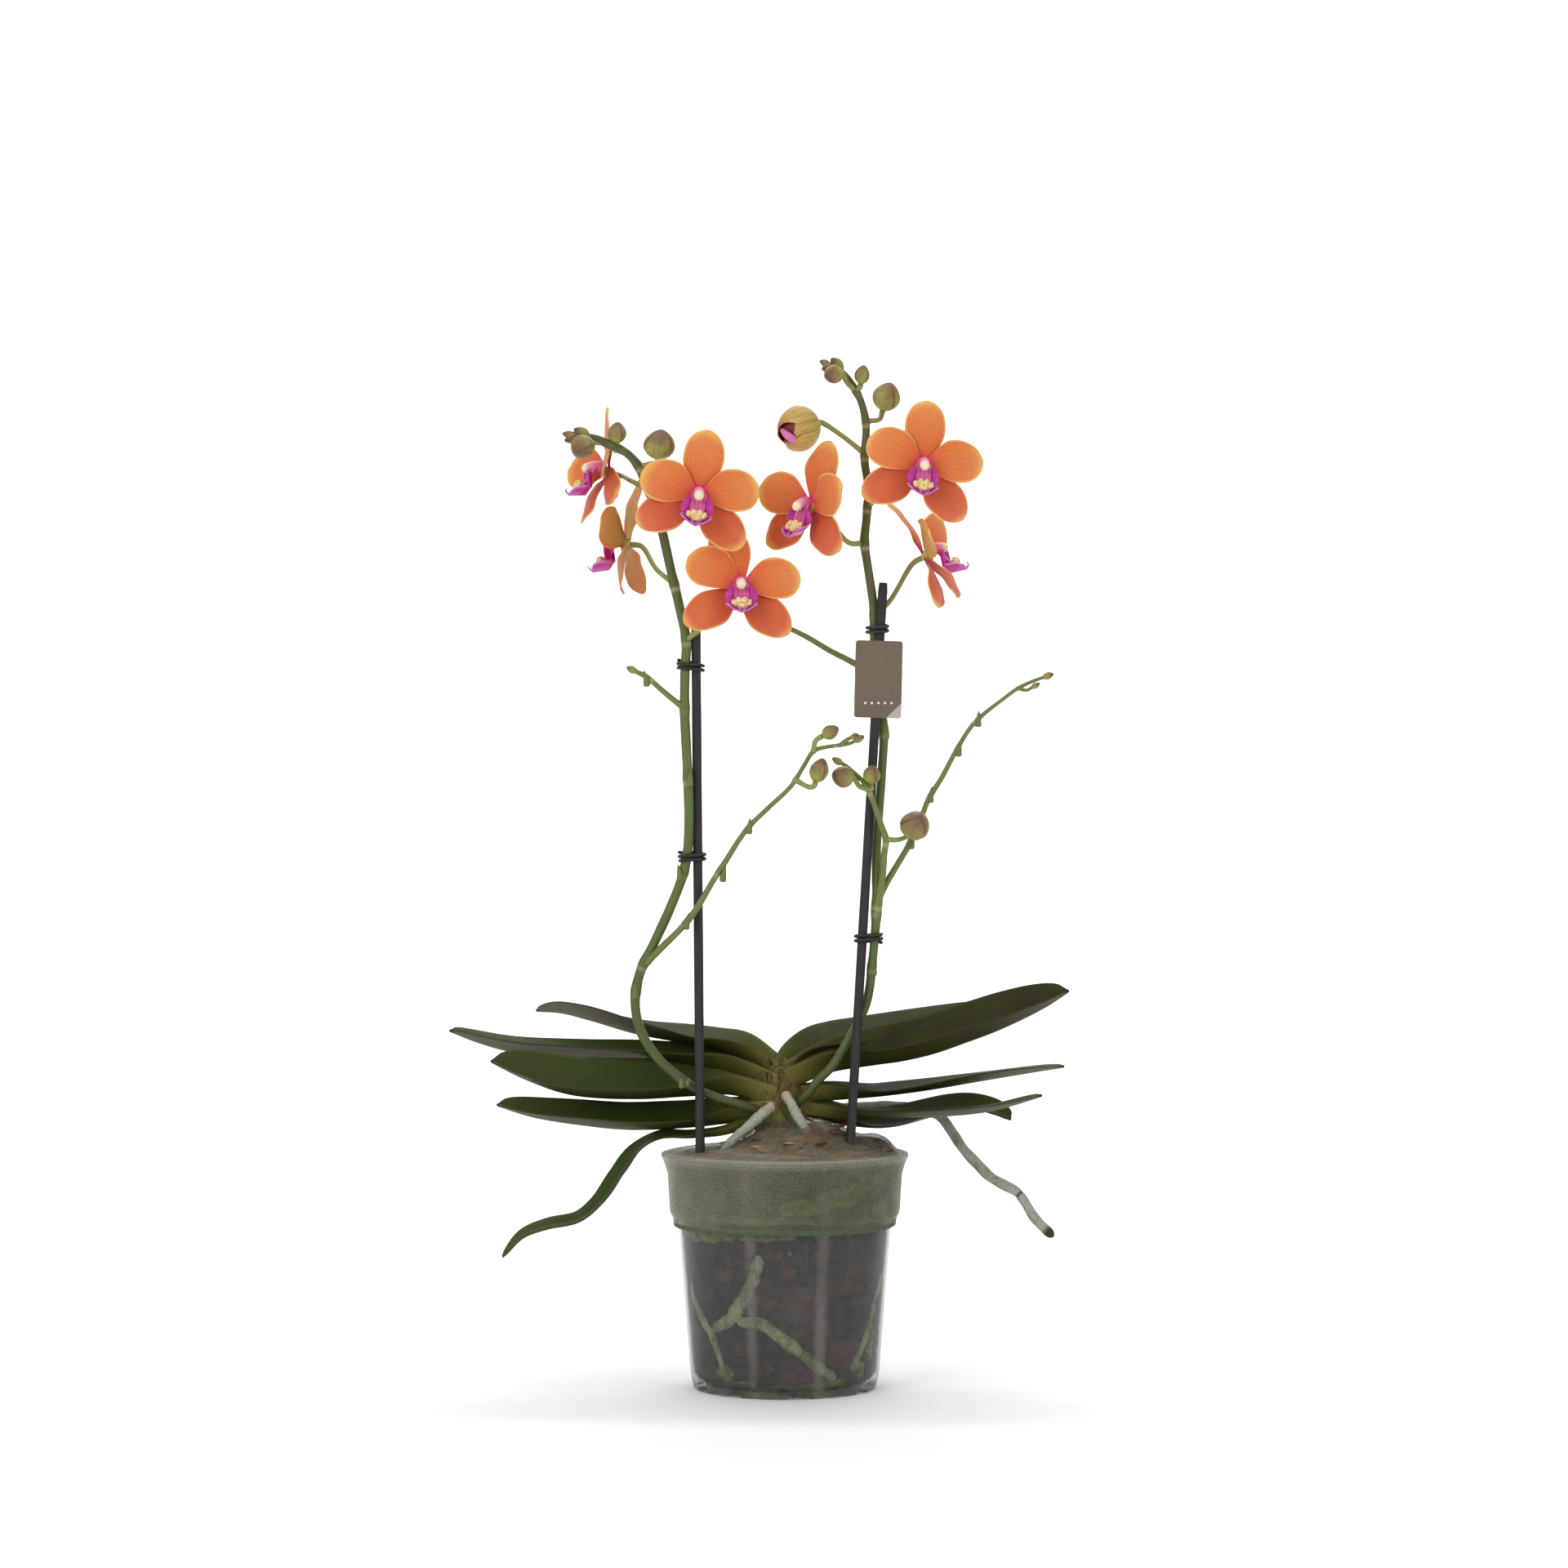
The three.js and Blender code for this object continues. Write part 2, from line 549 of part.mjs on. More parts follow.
// Each flower's tepals are the dorsal sepal, the petals on its right and left, and the lateral sepals on
// its right and left. points are the angles that they point to, clockwise from its top, and lifts how far
// each tip stands forward of flat.
const FLOWERS = {
  flower_left_1: {
    at: [-41.3, -52, 432.2], turn: 4, nod: 3, spin: 8, size: 1.01,
    points: [0, 75, -75, 131, -120], lifts: [0, 1, 1, 1, 1],
  },
  flower_left_2: {
    at: [-21.2, -43, 389.2], turn: 3, nod: 12, spin: 0, size: 1.01,
    points: [-15, 78, -58, 134, -123], lifts: [0, 1, 1, 1, 1],
  },
  flower_left_3: {
    at: [-78.3, -8, 412.2], turn: -104, nod: 8, spin: 0, size: 1,
    points: [0, 69, -60, 137, -131], lifts: [0, 7, 8, -3, -2],
  },
  flower_left_4: {
    at: [-88.5, -2, 448], turn: -80, nod: 14, spin: 0, size: 1,
    points: [0, 75, -92, 114, -146], lifts: [10, 4, 16, -1, 8],
  },
  flower_right_1: {
    at: [66.3, -37, 447.5], turn: 5, nod: 4, spin: 6, size: 1.01,
    points: [-1, 78, -68, 136, -121], lifts: [0, 1, 1, 1, 1],
  },
  flower_right_2: {
    at: [12, -28, 429], turn: -43, nod: 3, spin: 0, size: 1.02,
    points: [18, 77, -68, 137, -123], lifts: [2, 9, 9, 7, 7],
  },
  flower_right_3: {
    at: [70, -6, 407], turn: 75, nod: 28, spin: 0, size: 0.98,
    points: [0, 56, -74, 136, -150], lifts: [-1, 12, 12, 6.5, 0],
  },
};

// The tepals in the same order: length and half width, how early the blade narrows, how blunt its tip is,
// how far it lies behind the petals, and how much it curls back.
const PETAL = { length: 28.8, half: 10.3, tip: 2.4, blunt: 0.35, behind: 0, curl: 1.5 };
const LATERAL = { length: 31, half: 9.6, tip: 1.7, blunt: 0.15, behind: 2.1, curl: 3 };
const DORSAL = { length: 32.6, half: 10, tip: 2.2, blunt: 0.3, behind: 2.1, curl: 2 };
const TEPALS = [DORSAL, PETAL, PETAL, LATERAL, LATERAL];

const TEPAL_ROOT = 2; // from the flower's middle to where a tepal starts
function tepalOutline(s, tip, blunt) {
  const widest = 0.6;
  const open = 0.24 + 0.76 * Math.sin((Math.PI / 2) * Math.min(1, s / widest)) ** 1.4;
  const close = s < widest ? 1 : Math.max(0, 1 - ((s - widest) / (1 - widest)) ** tip) ** (1 / 2.1);
  return Math.max(blunt, open * close);
}

function tepal(frame, { length, half, tip, blunt, behind, curl }, points, lift, size) {
  const a = rad(points);
  const out = frame.up.clone().multiplyScalar(Math.cos(a)).addScaledVector(frame.right, Math.sin(a));
  const across = frame.right.clone().multiplyScalar(Math.cos(a)).addScaledVector(frame.up, -Math.sin(a));
  const at = (s, v) => {
    const width = size * half * tepalOutline(s, tip, blunt);
    const bow = size * (1.6 * Math.sin(Math.PI * s) - curl * s * s) + lift * s ** 1.3;
    const leaning = Math.sqrt(1 - (Math.min(Math.abs(lift), 0.8 * length) / length) ** 2);
    return frame.middle
      .clone()
      .addScaledVector(out, leaning * size * (TEPAL_ROOT + (length - TEPAL_ROOT) * s))
      .addScaledVector(across, width * v)
      .addScaledVector(frame.front, bow - behind - 0.07 * width * v * v);
  };
  return blade(at, even(0.95), 4, 2, 0.35);
}

// The five tepals and the cone at their back that the stalk meets.
function tepals(flower) {
  const frame = flowerFrame(flower);
  const back = frame.middle.clone().addScaledVector(frame.front, -FLOWER_BACK);
  const front = frame.middle.clone().addScaledVector(frame.front, 0.8);
  const heart = rod([back.toArray(), front.toArray()], taper(1.5, 3.3), 6, 1);
  const { points, lifts, size } = flower;
  return join(heart, ...TEPALS.map((shape, k) => tepal(frame, shape, points[k], lifts[k], size)));
}

const LIP_AHEAD = 1.15; // from a flower's middle to the back of its column
// The lip with its two raised side lobes and beaked middle lobe, and the column over it.
function lip(flower) {
  const frame = flowerFrame(flower);
  const k = flower.size;
  const place = (r, u, f) =>
    frame.middle
      .clone()
      .addScaledVector(frame.right, k * r)
      .addScaledVector(frame.up, k * u)
      .addScaledVector(frame.front, k * f + LIP_AHEAD);
  const point = (r, u, f) => place(r, u, f).toArray();
  const columnPath = [point(0, 0, 0), point(0, 0.4, 3.6), point(0, -0.4, 7.8)];
  const column = rod(columnPath, taper(2.3 * k, 3.2 * k), 5, 2);
  const foot = rod([point(0, 0, 3), point(0, -6.5, 4.4), point(0, -12.6, 7)], even(1.5 * k), 4, 2);
  const middle = (s, v) => {
    const w = 6.9 * Math.max(0.1, Math.sin(Math.PI * (0.27 + 0.73 * s)) ** 0.9);
    return place(w * v, -12.4 - 5 * s + 5.2 * v * v * (1 - 0.6 * s), 5.6 + 8.6 * s - 1.5 * v * v);
  };
  const ear = (side) => (s, v) => {
    const w = 3.3 * Math.max(0.3, Math.sin(Math.PI * (0.2 + 0.7 * s)));
    return place(side * (0.9 + 5 * Math.sin(1.8 * s)), -11.4 + 10.4 * s, 6 + 0.6 * s + w * v);
  };
  const ears = [ear(1), ear(-1)].map((side) => blade(side, even(1), 2, 1));
  return join(column, foot, blade(middle, even(1), 3, 2), ...ears);
}

// A bud: an egg with a blunt tip on an axis, with the stalk at its back end.
function bud({ at, axis, length, half }) {
  const rings = [[0.55, -0.44], [1, -0.12], [0.95, 0.18], [0.5, 0.43]];
  const profile = [[0, -0.5], ...rings, [0, 0.5]].map(([r, z]) => [r * half, z * length]);
  const onAxis = new THREE.Quaternion().setFromUnitVectors(new THREE.Vector3(0, 0, 1), V(axis).normalize());
  return solid(turned(profile, 6).applyQuaternion(onAxis).translate(...at));
}

const BUDS = {
  bud_left_1: { at: [-60.3, -36, 458.2], axis: [0.1, -0.45, 0.9], length: 15, half: 7.7 },
  bud_left_2: { at: [-80.8, -33, 464.2], axis: [0.05, -0.3, 0.95], length: 10.6, half: 4.6 },
  bud_left_3: { at: [-97, -43, 456.5], axis: [-0.35, -0.8, -0.35], length: 12.8, half: 6 },
  bud_right_1: { at: [49.5, -12, 483.5], axis: [0.25, -0.35, 0.9], length: 14.5, half: 6.9 },
  bud_right_2: { at: [37.5, -19, 493.5], axis: [0.15, -0.35, 0.93], length: 9.6, half: 3.7 },
  bud_right_3: { at: [23.5, -26.5, 493], axis: [-0.6, -0.75, -0.2], length: 10.5, half: 4.6 },
  bud_branch_1: { at: [21.8, -36, 320], axis: [0.85, -0.2, 0.45], length: 9.2, half: 3.5 },
  bud_branch_2: { at: [16.5, -38, 301.5], axis: [0.3, -0.2, 0.93], length: 12.4, half: 4.6 },
  bud_branch_3: { at: [28, -28.5, 298.5], axis: [-0.7, -0.65, 0.1], length: 12, half: 5.3 },
  bud_branch_4: { at: [42, -24.5, 299.5], axis: [0.05, -0.5, 0.86], length: 9.6, half: 4.3 },
  bud_branch_5: { at: [63, -24, 275], axis: [0.25, -0.8, 0.5], length: 14.8, half: 7.3 },
};

const OPENING = { at: [6.5, -20, 467.5], axis: [-0.72, -0.4, -0.42], length: 22, half: 10.6 };

// Where a stalk ends: behind a flower's back or a bud's base, a gap away, and the way in.
function stalkEnd(name) {
  if (FLOWERS[name]) {
    const { middle, front } = flowerFrame(FLOWERS[name]);
    return { end: middle.clone().addScaledVector(front, -FLOWER_BACK - GAP), way: front };
  }
  const { at, axis, length } = BUDS[name] ?? OPENING;
  const way = V(axis).normalize();
  return { end: V(at).addScaledVector(way, -length / 2 - GAP), way };
}

// Each spike is one grown piece: its main stem, its branches, its small bracts, and the stalks of its
// flowers and buds. A stalk starts on the stem and passes through a point on its way.
const SPIKES = {
  spike_left: {
    radius: [2.35, 1.75],
    steps: 26,
    main: [
      [-10.5, -6.5, 133.5], [-16, -9.5, 136.5], [-23.5, -13.5, 139.5], [-34, -16, 143], [-44, -17, 147.5],
      [-53, -20.5, 154], [-63, -23.5, 164], [-70, -23.5, 176], [-72.5, -22, 190], [-70, -22, 204],
      [-62.8, -23.5, 219], [-55.2, -26, 235.5], [-49.8, -27, 249.5], [-47.2, -27.8, 261],
      [-46.3, -28.6, 279], [-46.7, -28.7, 295], [-47.6, -28.5, 313], [-48.4, -28.2, 331],
      [-48.2, -28, 350.5], [-47.6, -28.5, 363.5], [-50.5, -29.5, 379], [-54, -30.5, 394], [-58, -31, 412],
      [-61.5, -31, 426.5], [-66, -30.5, 437], [-70.5, -30, 448], [-75.5, -30, 454], [-80.5, -30.5, 457],
      [-85.5, -32, 459], [-91, -34, 461.3], [-97.5, -35.5, 462.3], [-103, -36, 463],
    ],
    branches: [
      {
        radius: [1.75, 0.9], steps: 16,
        path: [
          [-67.5, -22.8, 208], [-59, -27, 216.5], [-49.5, -30.4, 226], [-42.5, -31.4, 235],
          [-34.5, -32, 248.5], [-29, -32.5, 257], [-18.5, -33.5, 273], [-8.5, -34, 283], [3, -34.5, 294],
          [9, -34.5, 303.5], [14, -34.5, 311], [20, -34.5, 312.8], [27, -34.5, 313.8],
          [31.5, -34.5, 314.6], [34.6, -34.5, 316.2],
        ],
      },
      {
        radius: [1.5, 1.2], steps: 5,
        path: [
          [-48.4, -28.2, 331.5], [-53, -29.5, 335], [-59, -31.5, 340], [-66.5, -34, 346.5],
          [-72.5, -36, 349.5],
        ],
      },
      { radius: [1.1, 0.9], steps: 3, path: [[27, -34.5, 313.8], [30, -36, 316.4], [32.6, -37.5, 317.6]] },
    ],
    bracts: [
      [-45.9, -31.2, 298, 0.2], [-50.5, -30.2, 252.5, -0.5], [-17.2, -34.5, 275, 0.2],
      [-29.8, -33.6, 252, 0.6], [-47.5, -31.8, 229, 0.5], [-72.4, -23.6, 195, -0.2],
      [-50, -21, 151.5, -0.4], [-66.5, -34.6, 346, -0.6],
    ],
    stalks: [
      { to: "flower_left_1", from: [-61.6, -31, 427.5], via: [-51, -36, 430] },
      { to: "flower_left_2", from: [-47.6, -28.8, 364.5], via: [-41, -35, 369.5] },
      { to: "flower_left_3", from: [-53.4, -30.4, 391.5], via: [-62, -23, 398.8] },
      { to: "flower_left_4", from: [-66, -30.5, 437], via: [-74, -24, 441.5] },
      { to: "bud_left_1", from: [-70.4, -30, 448.2], via: [-64.5, -31.5, 449.5] },
      { to: "bud_left_2", from: [-81.5, -30.6, 456], via: [-81.2, -30.6, 457] },
      { to: "bud_left_3", from: [-86, -32, 459.2], via: [-90.5, -34, 459.3] },
      { to: "bud_branch_1", from: [13.8, -34.5, 310.8], via: [14.6, -35.2, 315.5] },
      { to: "bud_branch_2", from: [5, -34.5, 297], via: [12, -36, 293.5] },
    ],
  },
  spike_right: {
    radius: [2.25, 1.3],
    steps: 26,
    main: [
      [5.5, -7.5, 138.5], [11, -10.5, 144], [16, -12, 150.5], [22.5, -12.6, 157], [29.8, -12.2, 168],
      [35.2, -11.6, 178], [39.4, -12.9, 187.5], [41.3, -13.8, 196.5], [42.2, -14.6, 205],
      [43.4, -15.4, 217], [44.4, -15.4, 230], [44.6, -14.6, 241], [44.4, -13.4, 250], [44.8, -12.4, 266],
      [46, -12, 284], [47.4, -11.6, 303], [48.2, -11.2, 319], [47, -10.4, 333], [45.2, -9.8, 347],
      [44, -9.9, 359], [43.4, -10.3, 369], [43.4, -10.7, 380], [42, -11, 390.5], [40.3, -11.3, 401.5],
      [38.8, -11.5, 412.5], [39.8, -12, 425], [40.6, -12.5, 439.5], [38.8, -13, 452.5],
      [39.5, -13.5, 470], [37, -14.5, 481], [34, -15, 487], [30.5, -15.5, 492.5], [26, -16.5, 496.6],
      [20.5, -18.5, 498.8],
    ],
    branches: [
      {
        radius: [1.7, 1.15], steps: 7,
        path: [
          [45.2, -9.8, 346.5], [40, -7.5, 350], [33, -5, 354.5], [21.5, -3.5, 360.5], [11.5, -3.4, 366.5],
          [1.5, -5, 371.5], [-5, -7, 375], [-9, -8.5, 379],
        ],
      },
      {
        radius: [1.9, 0.95], steps: 13,
        path: [
          [44.4, -15.4, 231], [46, -17, 241], [47.4, -18.4, 250], [48.3, -20, 261.5], [49, -20.8, 268],
          [46.8, -21.5, 275], [44, -22, 283], [41.2, -22, 290.5], [38, -22.4, 296], [33.5, -21, 300.5],
          [30, -20, 303.6], [26.5, -20, 305.6],
        ],
      },
      {
        radius: [1.7, 0.85], steps: 15,
        path: [
          [44.7, -14.9, 237.5], [49.5, -14.4, 247], [54, -13.2, 254.5], [60.5, -11.6, 265.5],
          [67, -10, 280], [70, -9, 287.5], [76.5, -8, 298], [83.5, -7, 311], [91, -6, 323], [97, -5, 329],
          [106, -4, 336], [113.5, -4, 341.5], [120.5, -4, 345], [127.5, -4.5, 347.5],
        ],
      },
      { radius: [0.9, 0.8], steps: 3, path: [[114, -4, 341.8], [118, -5.5, 340.8], [121.5, -6.8, 342.6]] },
    ],
    bracts: [
      [49.4, -11.4, 321, 0.25], [71, -9.4, 290, 0.3], [84.8, -7.3, 312.5, 0.5], [94.4, -6, 327, 0.2],
      [61.6, -12, 267.5, 0.7], [43.2, -14.9, 206, 0.3], [45.4, -16, 234, 0.4],
    ],
    stalks: [
      { to: "flower_right_1", from: [40.2, -12.2, 430], via: [53, -20, 441] },
      { to: "flower_right_2", from: [38.8, -11.5, 412.3], via: [31, -13, 412.5] },
      { to: "flower_right_3", from: [43.5, -10.6, 377], via: [51, -8.2, 384] },
      { to: "opening_bud", from: [39, -13, 455.5], via: [28.5, -12.5, 464] },
      { to: "bud_right_1", from: [39.4, -13.6, 471.5], via: [46, -11.5, 472.5] },
      { to: "bud_right_2", from: [34.6, -15.4, 486.2], via: [36, -16.6, 487.2] },
      { to: "bud_right_3", from: [34.6, -15, 486], via: [30, -18.5, 490] },
      { to: "bud_branch_3", from: [40, -22.2, 292.5], via: [36, -22.4, 294] },
      { to: "bud_branch_4", from: [40.6, -22.1, 291.6], via: [42, -22.6, 293] },
      { to: "bud_branch_5", from: [49, -20.8, 268.2], via: [55, -20.6, 268] },
    ],
  },
};

// A pointed scale that hugs the stem at a joint, leaning outwards by out.
function bract([x, y, z, out]) {
  return rod([[x, y, z - 3], [x + 0.7 * out, y, z], [x + 2.2 * out, y, z + 3.4]], taper(1.9, 0.5), 4, 1);
}

function spike({ main, radius, steps, branches, bracts, stalks }) {
  const pieces = [rod(main, taper(...radius), 6, steps)];
  branches.forEach((b) => pieces.push(rod(b.path, taper(...b.radius), 4, b.steps)));
  bracts.forEach((b) => pieces.push(bract(b)));
  stalks.forEach(({ to, from, via }) => {
    const { end, way } = stalkEnd(to);
    const lead = end.clone().addScaledVector(way, to.startsWith("flower") ? -5 : -1.6);
    pieces.push(rod([from, via, lead.toArray(), end.toArray()], taper(1.4, 1.2), 4, 3));
  });
  const tips = [main, ...branches.map((b) => b.path)].map((path) => path[path.length - 1]);
  const swell = (t) => 0.7 + 1.6 * Math.sin(Math.PI * t);
  tips.forEach(([x, y, z]) => pieces.push(rod([[x, y, z - 2], [x, y, z + 2.4]], swell, 4, 2)));
  return join(...pieces);
}

// The opening flower: an egg whose tepals part in front, with a mouth cut into it, and its lip inside.
function openingBud() {
  const { at, axis, half } = OPENING;
  const egg = bud(OPENING);
  const way = V(axis).normalize();
  const mouthAt = V(at).addScaledVector(way, 6.5);
  const low = mouthAt.clone().add(new THREE.Vector3(0, -2, -3));
  const end = low.clone().addScaledVector(way, half);
  const mouth = rod([low.toArray(), end.toArray()], taper(2.6, 6.4), 6, 1);
  return egg.subtract(mouth);
}

function openingLip() {
  const { at, axis } = OPENING;
  const way = V(axis).normalize();
  const root = V(at).addScaledVector(way, 6.5 + GAP).add(new THREE.Vector3(0, -2, -3));
  const end = root.clone().addScaledVector(way, 5.2);
  return rod([root.toArray(), end.toArray()], taper(2.0, 2.8), 6, 1);
}

// ---------------------------------------------------------------- the plant in its pot
const look = (color, roughness) => new THREE.MeshStandardMaterial({ color, roughness, metalness: 0 });
const FINISH = {
  pot: look(0xa9b3a4, 0.25),
  net: look(0x7f8a76, 0.9),
  bark: look(0x4a3628, 0.95),
  stem: look(0x7d7a3a, 0.6),
  leaf: look(0x2f3d1c, 0.4),
  root: look(0xb5b8a8, 0.8),
  pot_root: look(0x7f9362, 0.7),
  spike: look(0x6c7b3a, 0.5),
  stake: look(0x2b2829, 0.6),
  tie: look(0x1d1c1c, 0.45),
  card: look(0x6d5f50, 0.6),
  petal: look(0xe5773a, 0.55),
  lip: look(0xc0249c, 0.5),
  bud: look(0x8f8b3f, 0.55),
};

Object.assign(FINISH.pot, { transparent: true, opacity: 0.45 });

const orchid = new THREE.Group();
function place(name, body, finish) {
  const mesh = new THREE.Mesh(geometryOf(body), FINISH[finish]);
  mesh.name = name;
  orchid.add(mesh);
}

// Roots first, because the bark and the net are opened for them.
const roots = Object.entries(ROOTS);
const potRoots = Object.entries(POT_ROOTS).map(([name, root]) => [
  name,
  { radius: [root.radius, root.radius * 0.85], steps: 8, path: potRootPath(root) },
]);
const stakes = Object.entries(STAKES);

const throughNet = [
  ...roots.map(([, root]) => rootSolid(root, GAP)),
  ...stakes.map(([, ends]) => stake(ends, GAP)),
  stem(GAP + 0.6),
];
place("pot", pot(), "pot");
place("net_sleeve", netSleeve(throughNet), "net");
place("bark", bark([...throughNet, ...potRoots.map(([, root]) => rootSolid(root, GAP))]), "bark");

const crown = cut(stem(), [...roots, ...potRoots].map(([, root]) => rootSolid(root, GAP)));
place("stem", largest(crown), "stem");
roots.forEach(([name, root]) => place(name, rootSolid(root), "root"));
potRoots.forEach(([name, root]) => place(name, rootSolid(root), "pot_root"));

// A leaf gives way to the stem, and each leaf to those that are nearer the tip of the stem.
const foot = ({ main, radius }) => rod(main.slice(0, 6), even(radius[0] + GAP), 6, 6);
const feet = Object.values(SPIKES).map(foot);
const clearOfLeaves = [stem(GAP), ...feet, ...roots.map(([, root]) => rootSolid(root, GAP))];
Object.entries(LEAVES).forEach(([name, shape]) => {
  place(name, largest(cut(leaf(shape), clearOfLeaves)), "leaf");
  clearOfLeaves.push(leaf(shape, GAP));
});

stakes.forEach(([name, ends]) => place(name, stake(ends), "stake"));
const TIES = {
  tie_left_upper: { on: "stake_left", height: 352, stem: [-48.2, -28, 352], lean: 1.1 },
  tie_left_lower: { on: "stake_left", height: 260, stem: [-47.6, -27.7, 260], lean: 0 },
  tie_right_upper: { on: "stake_right", height: 370.5, stem: [43.4, -10.4, 370.5], lean: 0.4 },
  tie_right_lower: { on: "stake_right", height: 220, stem: [43.7, -15.4, 220], lean: 0 },
};
Object.entries(TIES).forEach(([name, shape]) => place(name, tie(shape), "tie"));
const [cardX, stakeY, cardZ] = alongStake("stake_right", CARD.at);
const cardY = stakeY - STAKE_RADIUS - 2 * GAP;
place("care_card", card([cardX + GAP, cardY, cardZ]), "card");

Object.entries(SPIKES).forEach(([name, shape]) => {
  place(name, largest(cut(spike(shape), [stem(GAP)])), "spike");
});
Object.entries(FLOWERS).forEach(([name, shape]) => {
  place(`${name}_tepals`, largest(tepals(shape)), "petal");
  place(`${name}_lip`, largest(lip(shape)), "lip");
});
Object.entries(BUDS).forEach(([name, shape]) => place(name, bud(shape), "bud"));
place("opening_bud", openingBud(), "bud");
place("opening_bud_lip", openingLip(), "lip");

export default orchid;
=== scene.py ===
# %% [markdown]
# # A moth orchid in its clear grower's pot
#
# The plant is built from surfaces that numpy works out: leaves, tepals and the net are grids of points,
# and stems, roots and wires are rings carried along a path. Every piece is made in millimetres, in the
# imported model's frame, and goes into its mesh in metres. X is the viewer's right, the viewer stands at
# -Y, Z is up.

import bpy
import numpy as np
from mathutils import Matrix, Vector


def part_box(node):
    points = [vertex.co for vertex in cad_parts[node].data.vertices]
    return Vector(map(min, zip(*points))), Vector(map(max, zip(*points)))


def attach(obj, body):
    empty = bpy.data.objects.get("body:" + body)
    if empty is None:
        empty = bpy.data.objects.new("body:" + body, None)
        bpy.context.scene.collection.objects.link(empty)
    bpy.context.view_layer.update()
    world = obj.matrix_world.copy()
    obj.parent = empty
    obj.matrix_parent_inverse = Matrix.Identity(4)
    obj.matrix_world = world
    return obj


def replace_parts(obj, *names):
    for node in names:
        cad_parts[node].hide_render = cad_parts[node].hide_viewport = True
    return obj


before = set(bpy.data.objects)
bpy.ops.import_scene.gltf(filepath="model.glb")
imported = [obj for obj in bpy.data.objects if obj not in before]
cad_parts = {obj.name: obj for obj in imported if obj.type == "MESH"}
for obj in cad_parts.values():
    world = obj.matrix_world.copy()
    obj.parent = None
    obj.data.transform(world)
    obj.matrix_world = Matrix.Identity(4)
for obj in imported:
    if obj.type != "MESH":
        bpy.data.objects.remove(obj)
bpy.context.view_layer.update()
print("packed nodes:", len(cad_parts))

# %% [markdown]
# ## The camera
#
# The picture is taken level from two metres away, with a long lens, so upright things stay upright. A
# tall lens position would make the pot's rim a wider ellipse than it is, so the camera stays at the
# plant's own middle.

# %% Camera
def shown(name, data):
    """An object for a mesh, a camera or a light, at the origin and in the scene."""
    made = bpy.data.objects.new(name, data)
    bpy.context.collection.objects.link(made)
    return made


CAMERA_PLACE = (-0.0004, -2.0, 0.295)
LENS_MM, SENSOR_MM = 93.75, 36
camera = shown("camera", bpy.data.cameras.new("camera"))
camera.location = CAMERA_PLACE
camera.rotation_euler = (np.pi / 2, 0, 0)
camera.data.lens, camera.data.sensor_width = LENS_MM, SENSOR_MM
bpy.context.scene.camera = camera
bpy.context.scene.view_settings.view_transform = "Standard"
print("the camera sees", round(-CAMERA_PLACE[1] * 1000 * SENSOR_MM / LENS_MM), "mm across at the pot")

# %% [markdown]
# ## Ways to make a surface
#
# A path through a few points is smoothed with a Catmull-Rom curve and walked at even steps. A tube
# carries a ring of points along it. A blade gives a curved grid its thickness, with a front, a back and a
# rim. All of them are closed shells, so each one can be turned to face outwards by the sign of its
# volume.


# %% Curves
def unit(vectors):
    """Vectors divided by their own length."""
    return vectors / np.maximum(np.linalg.norm(vectors, axis=-1, keepdims=True), 1e-12)


def smooth(t):
    """0 below 0, 1 above 1, and three t squared less two t cubed between."""
    t = np.clip(t, 0, 1)
    return t * t * (3 - 2 * t)


def bump(distance, width):
    """A bell: e to the power of minus the square of distance over width."""
    return np.exp(-((distance / width) ** 2))


def even_turns(count):
    """Angles of count points spaced evenly round a ring: a full turn x the number / count."""
    return 2 * np.pi * np.arange(count) / count


def fine_line(points, steps=40):
    """Points close together on the centripetal Catmull-Rom curve through the given ones: between two of
    them, a cubic whose end slopes come from their neighbours, spaced by the square root of distance."""
    given = np.array(points, float)
    ends = [2 * given[0] - given[1]], [2 * given[-1] - given[-2]]
    p = np.vstack([ends[0], given, ends[1]])
    gap = np.sqrt(np.maximum(np.linalg.norm(np.diff(p, axis=0), axis=1), 1e-6))[:, None]
    p0, p1, p2, p3 = p[:-3], p[1:-2], p[2:-1], p[3:]
    before, here, after = gap[:-2], gap[1:-1], gap[2:]
    leave = here * ((p1 - p0) / before - (p2 - p0) / (before + here) + (p2 - p1) / here)
    reach = here * ((p2 - p1) / here - (p3 - p1) / (here + after) + (p3 - p2) / after)
    u = np.linspace(0, 1, steps, endpoint=False)[:, None, None]
    cubic = (2 * u**3 - 3 * u**2 + 1) * p1 + (u**3 - 2 * u**2 + u) * leave
    cubic = cubic + (3 * u**2 - 2 * u**3) * p2 + (u**3 - u**2) * reach
    return np.vstack([cubic.transpose(1, 0, 2).reshape(-1, 3), given[-1:]])


def follow(points, shares):
    """Places and directions at the given shares of a path's length, and that length."""
    line = fine_line(points)
    run = np.concatenate([[0], np.cumsum(np.linalg.norm(np.diff(line, axis=0), axis=1))])
    slope = unit(np.gradient(line, axis=0))
    at = np.asarray(shares) * run[-1]
    place = np.stack([np.interp(at, run, line[:, k]) for k in range(3)], axis=-1)
    way = np.stack([np.interp(at, run, slope[:, k]) for k in range(3)], axis=-1)
    return place, unit(way), run[-1]


# %% Shells
DOME_ANGLES = np.radians([75, 50, 25])


def grid_faces(rows, cols, closed=False):
    """Four corners of each cell of a grid of points, row after row. closed joins the last column to the
    first."""
    i = np.arange(rows - 1)[:, None]
    j = np.arange(cols if closed else cols - 1)[None, :]
    right = (j + 1) % cols
    cells = [i * cols + j, i * cols + right, (i + 1) * cols + right, (i + 1) * cols + j]
    return np.stack(cells, axis=-1).reshape(-1, 4)


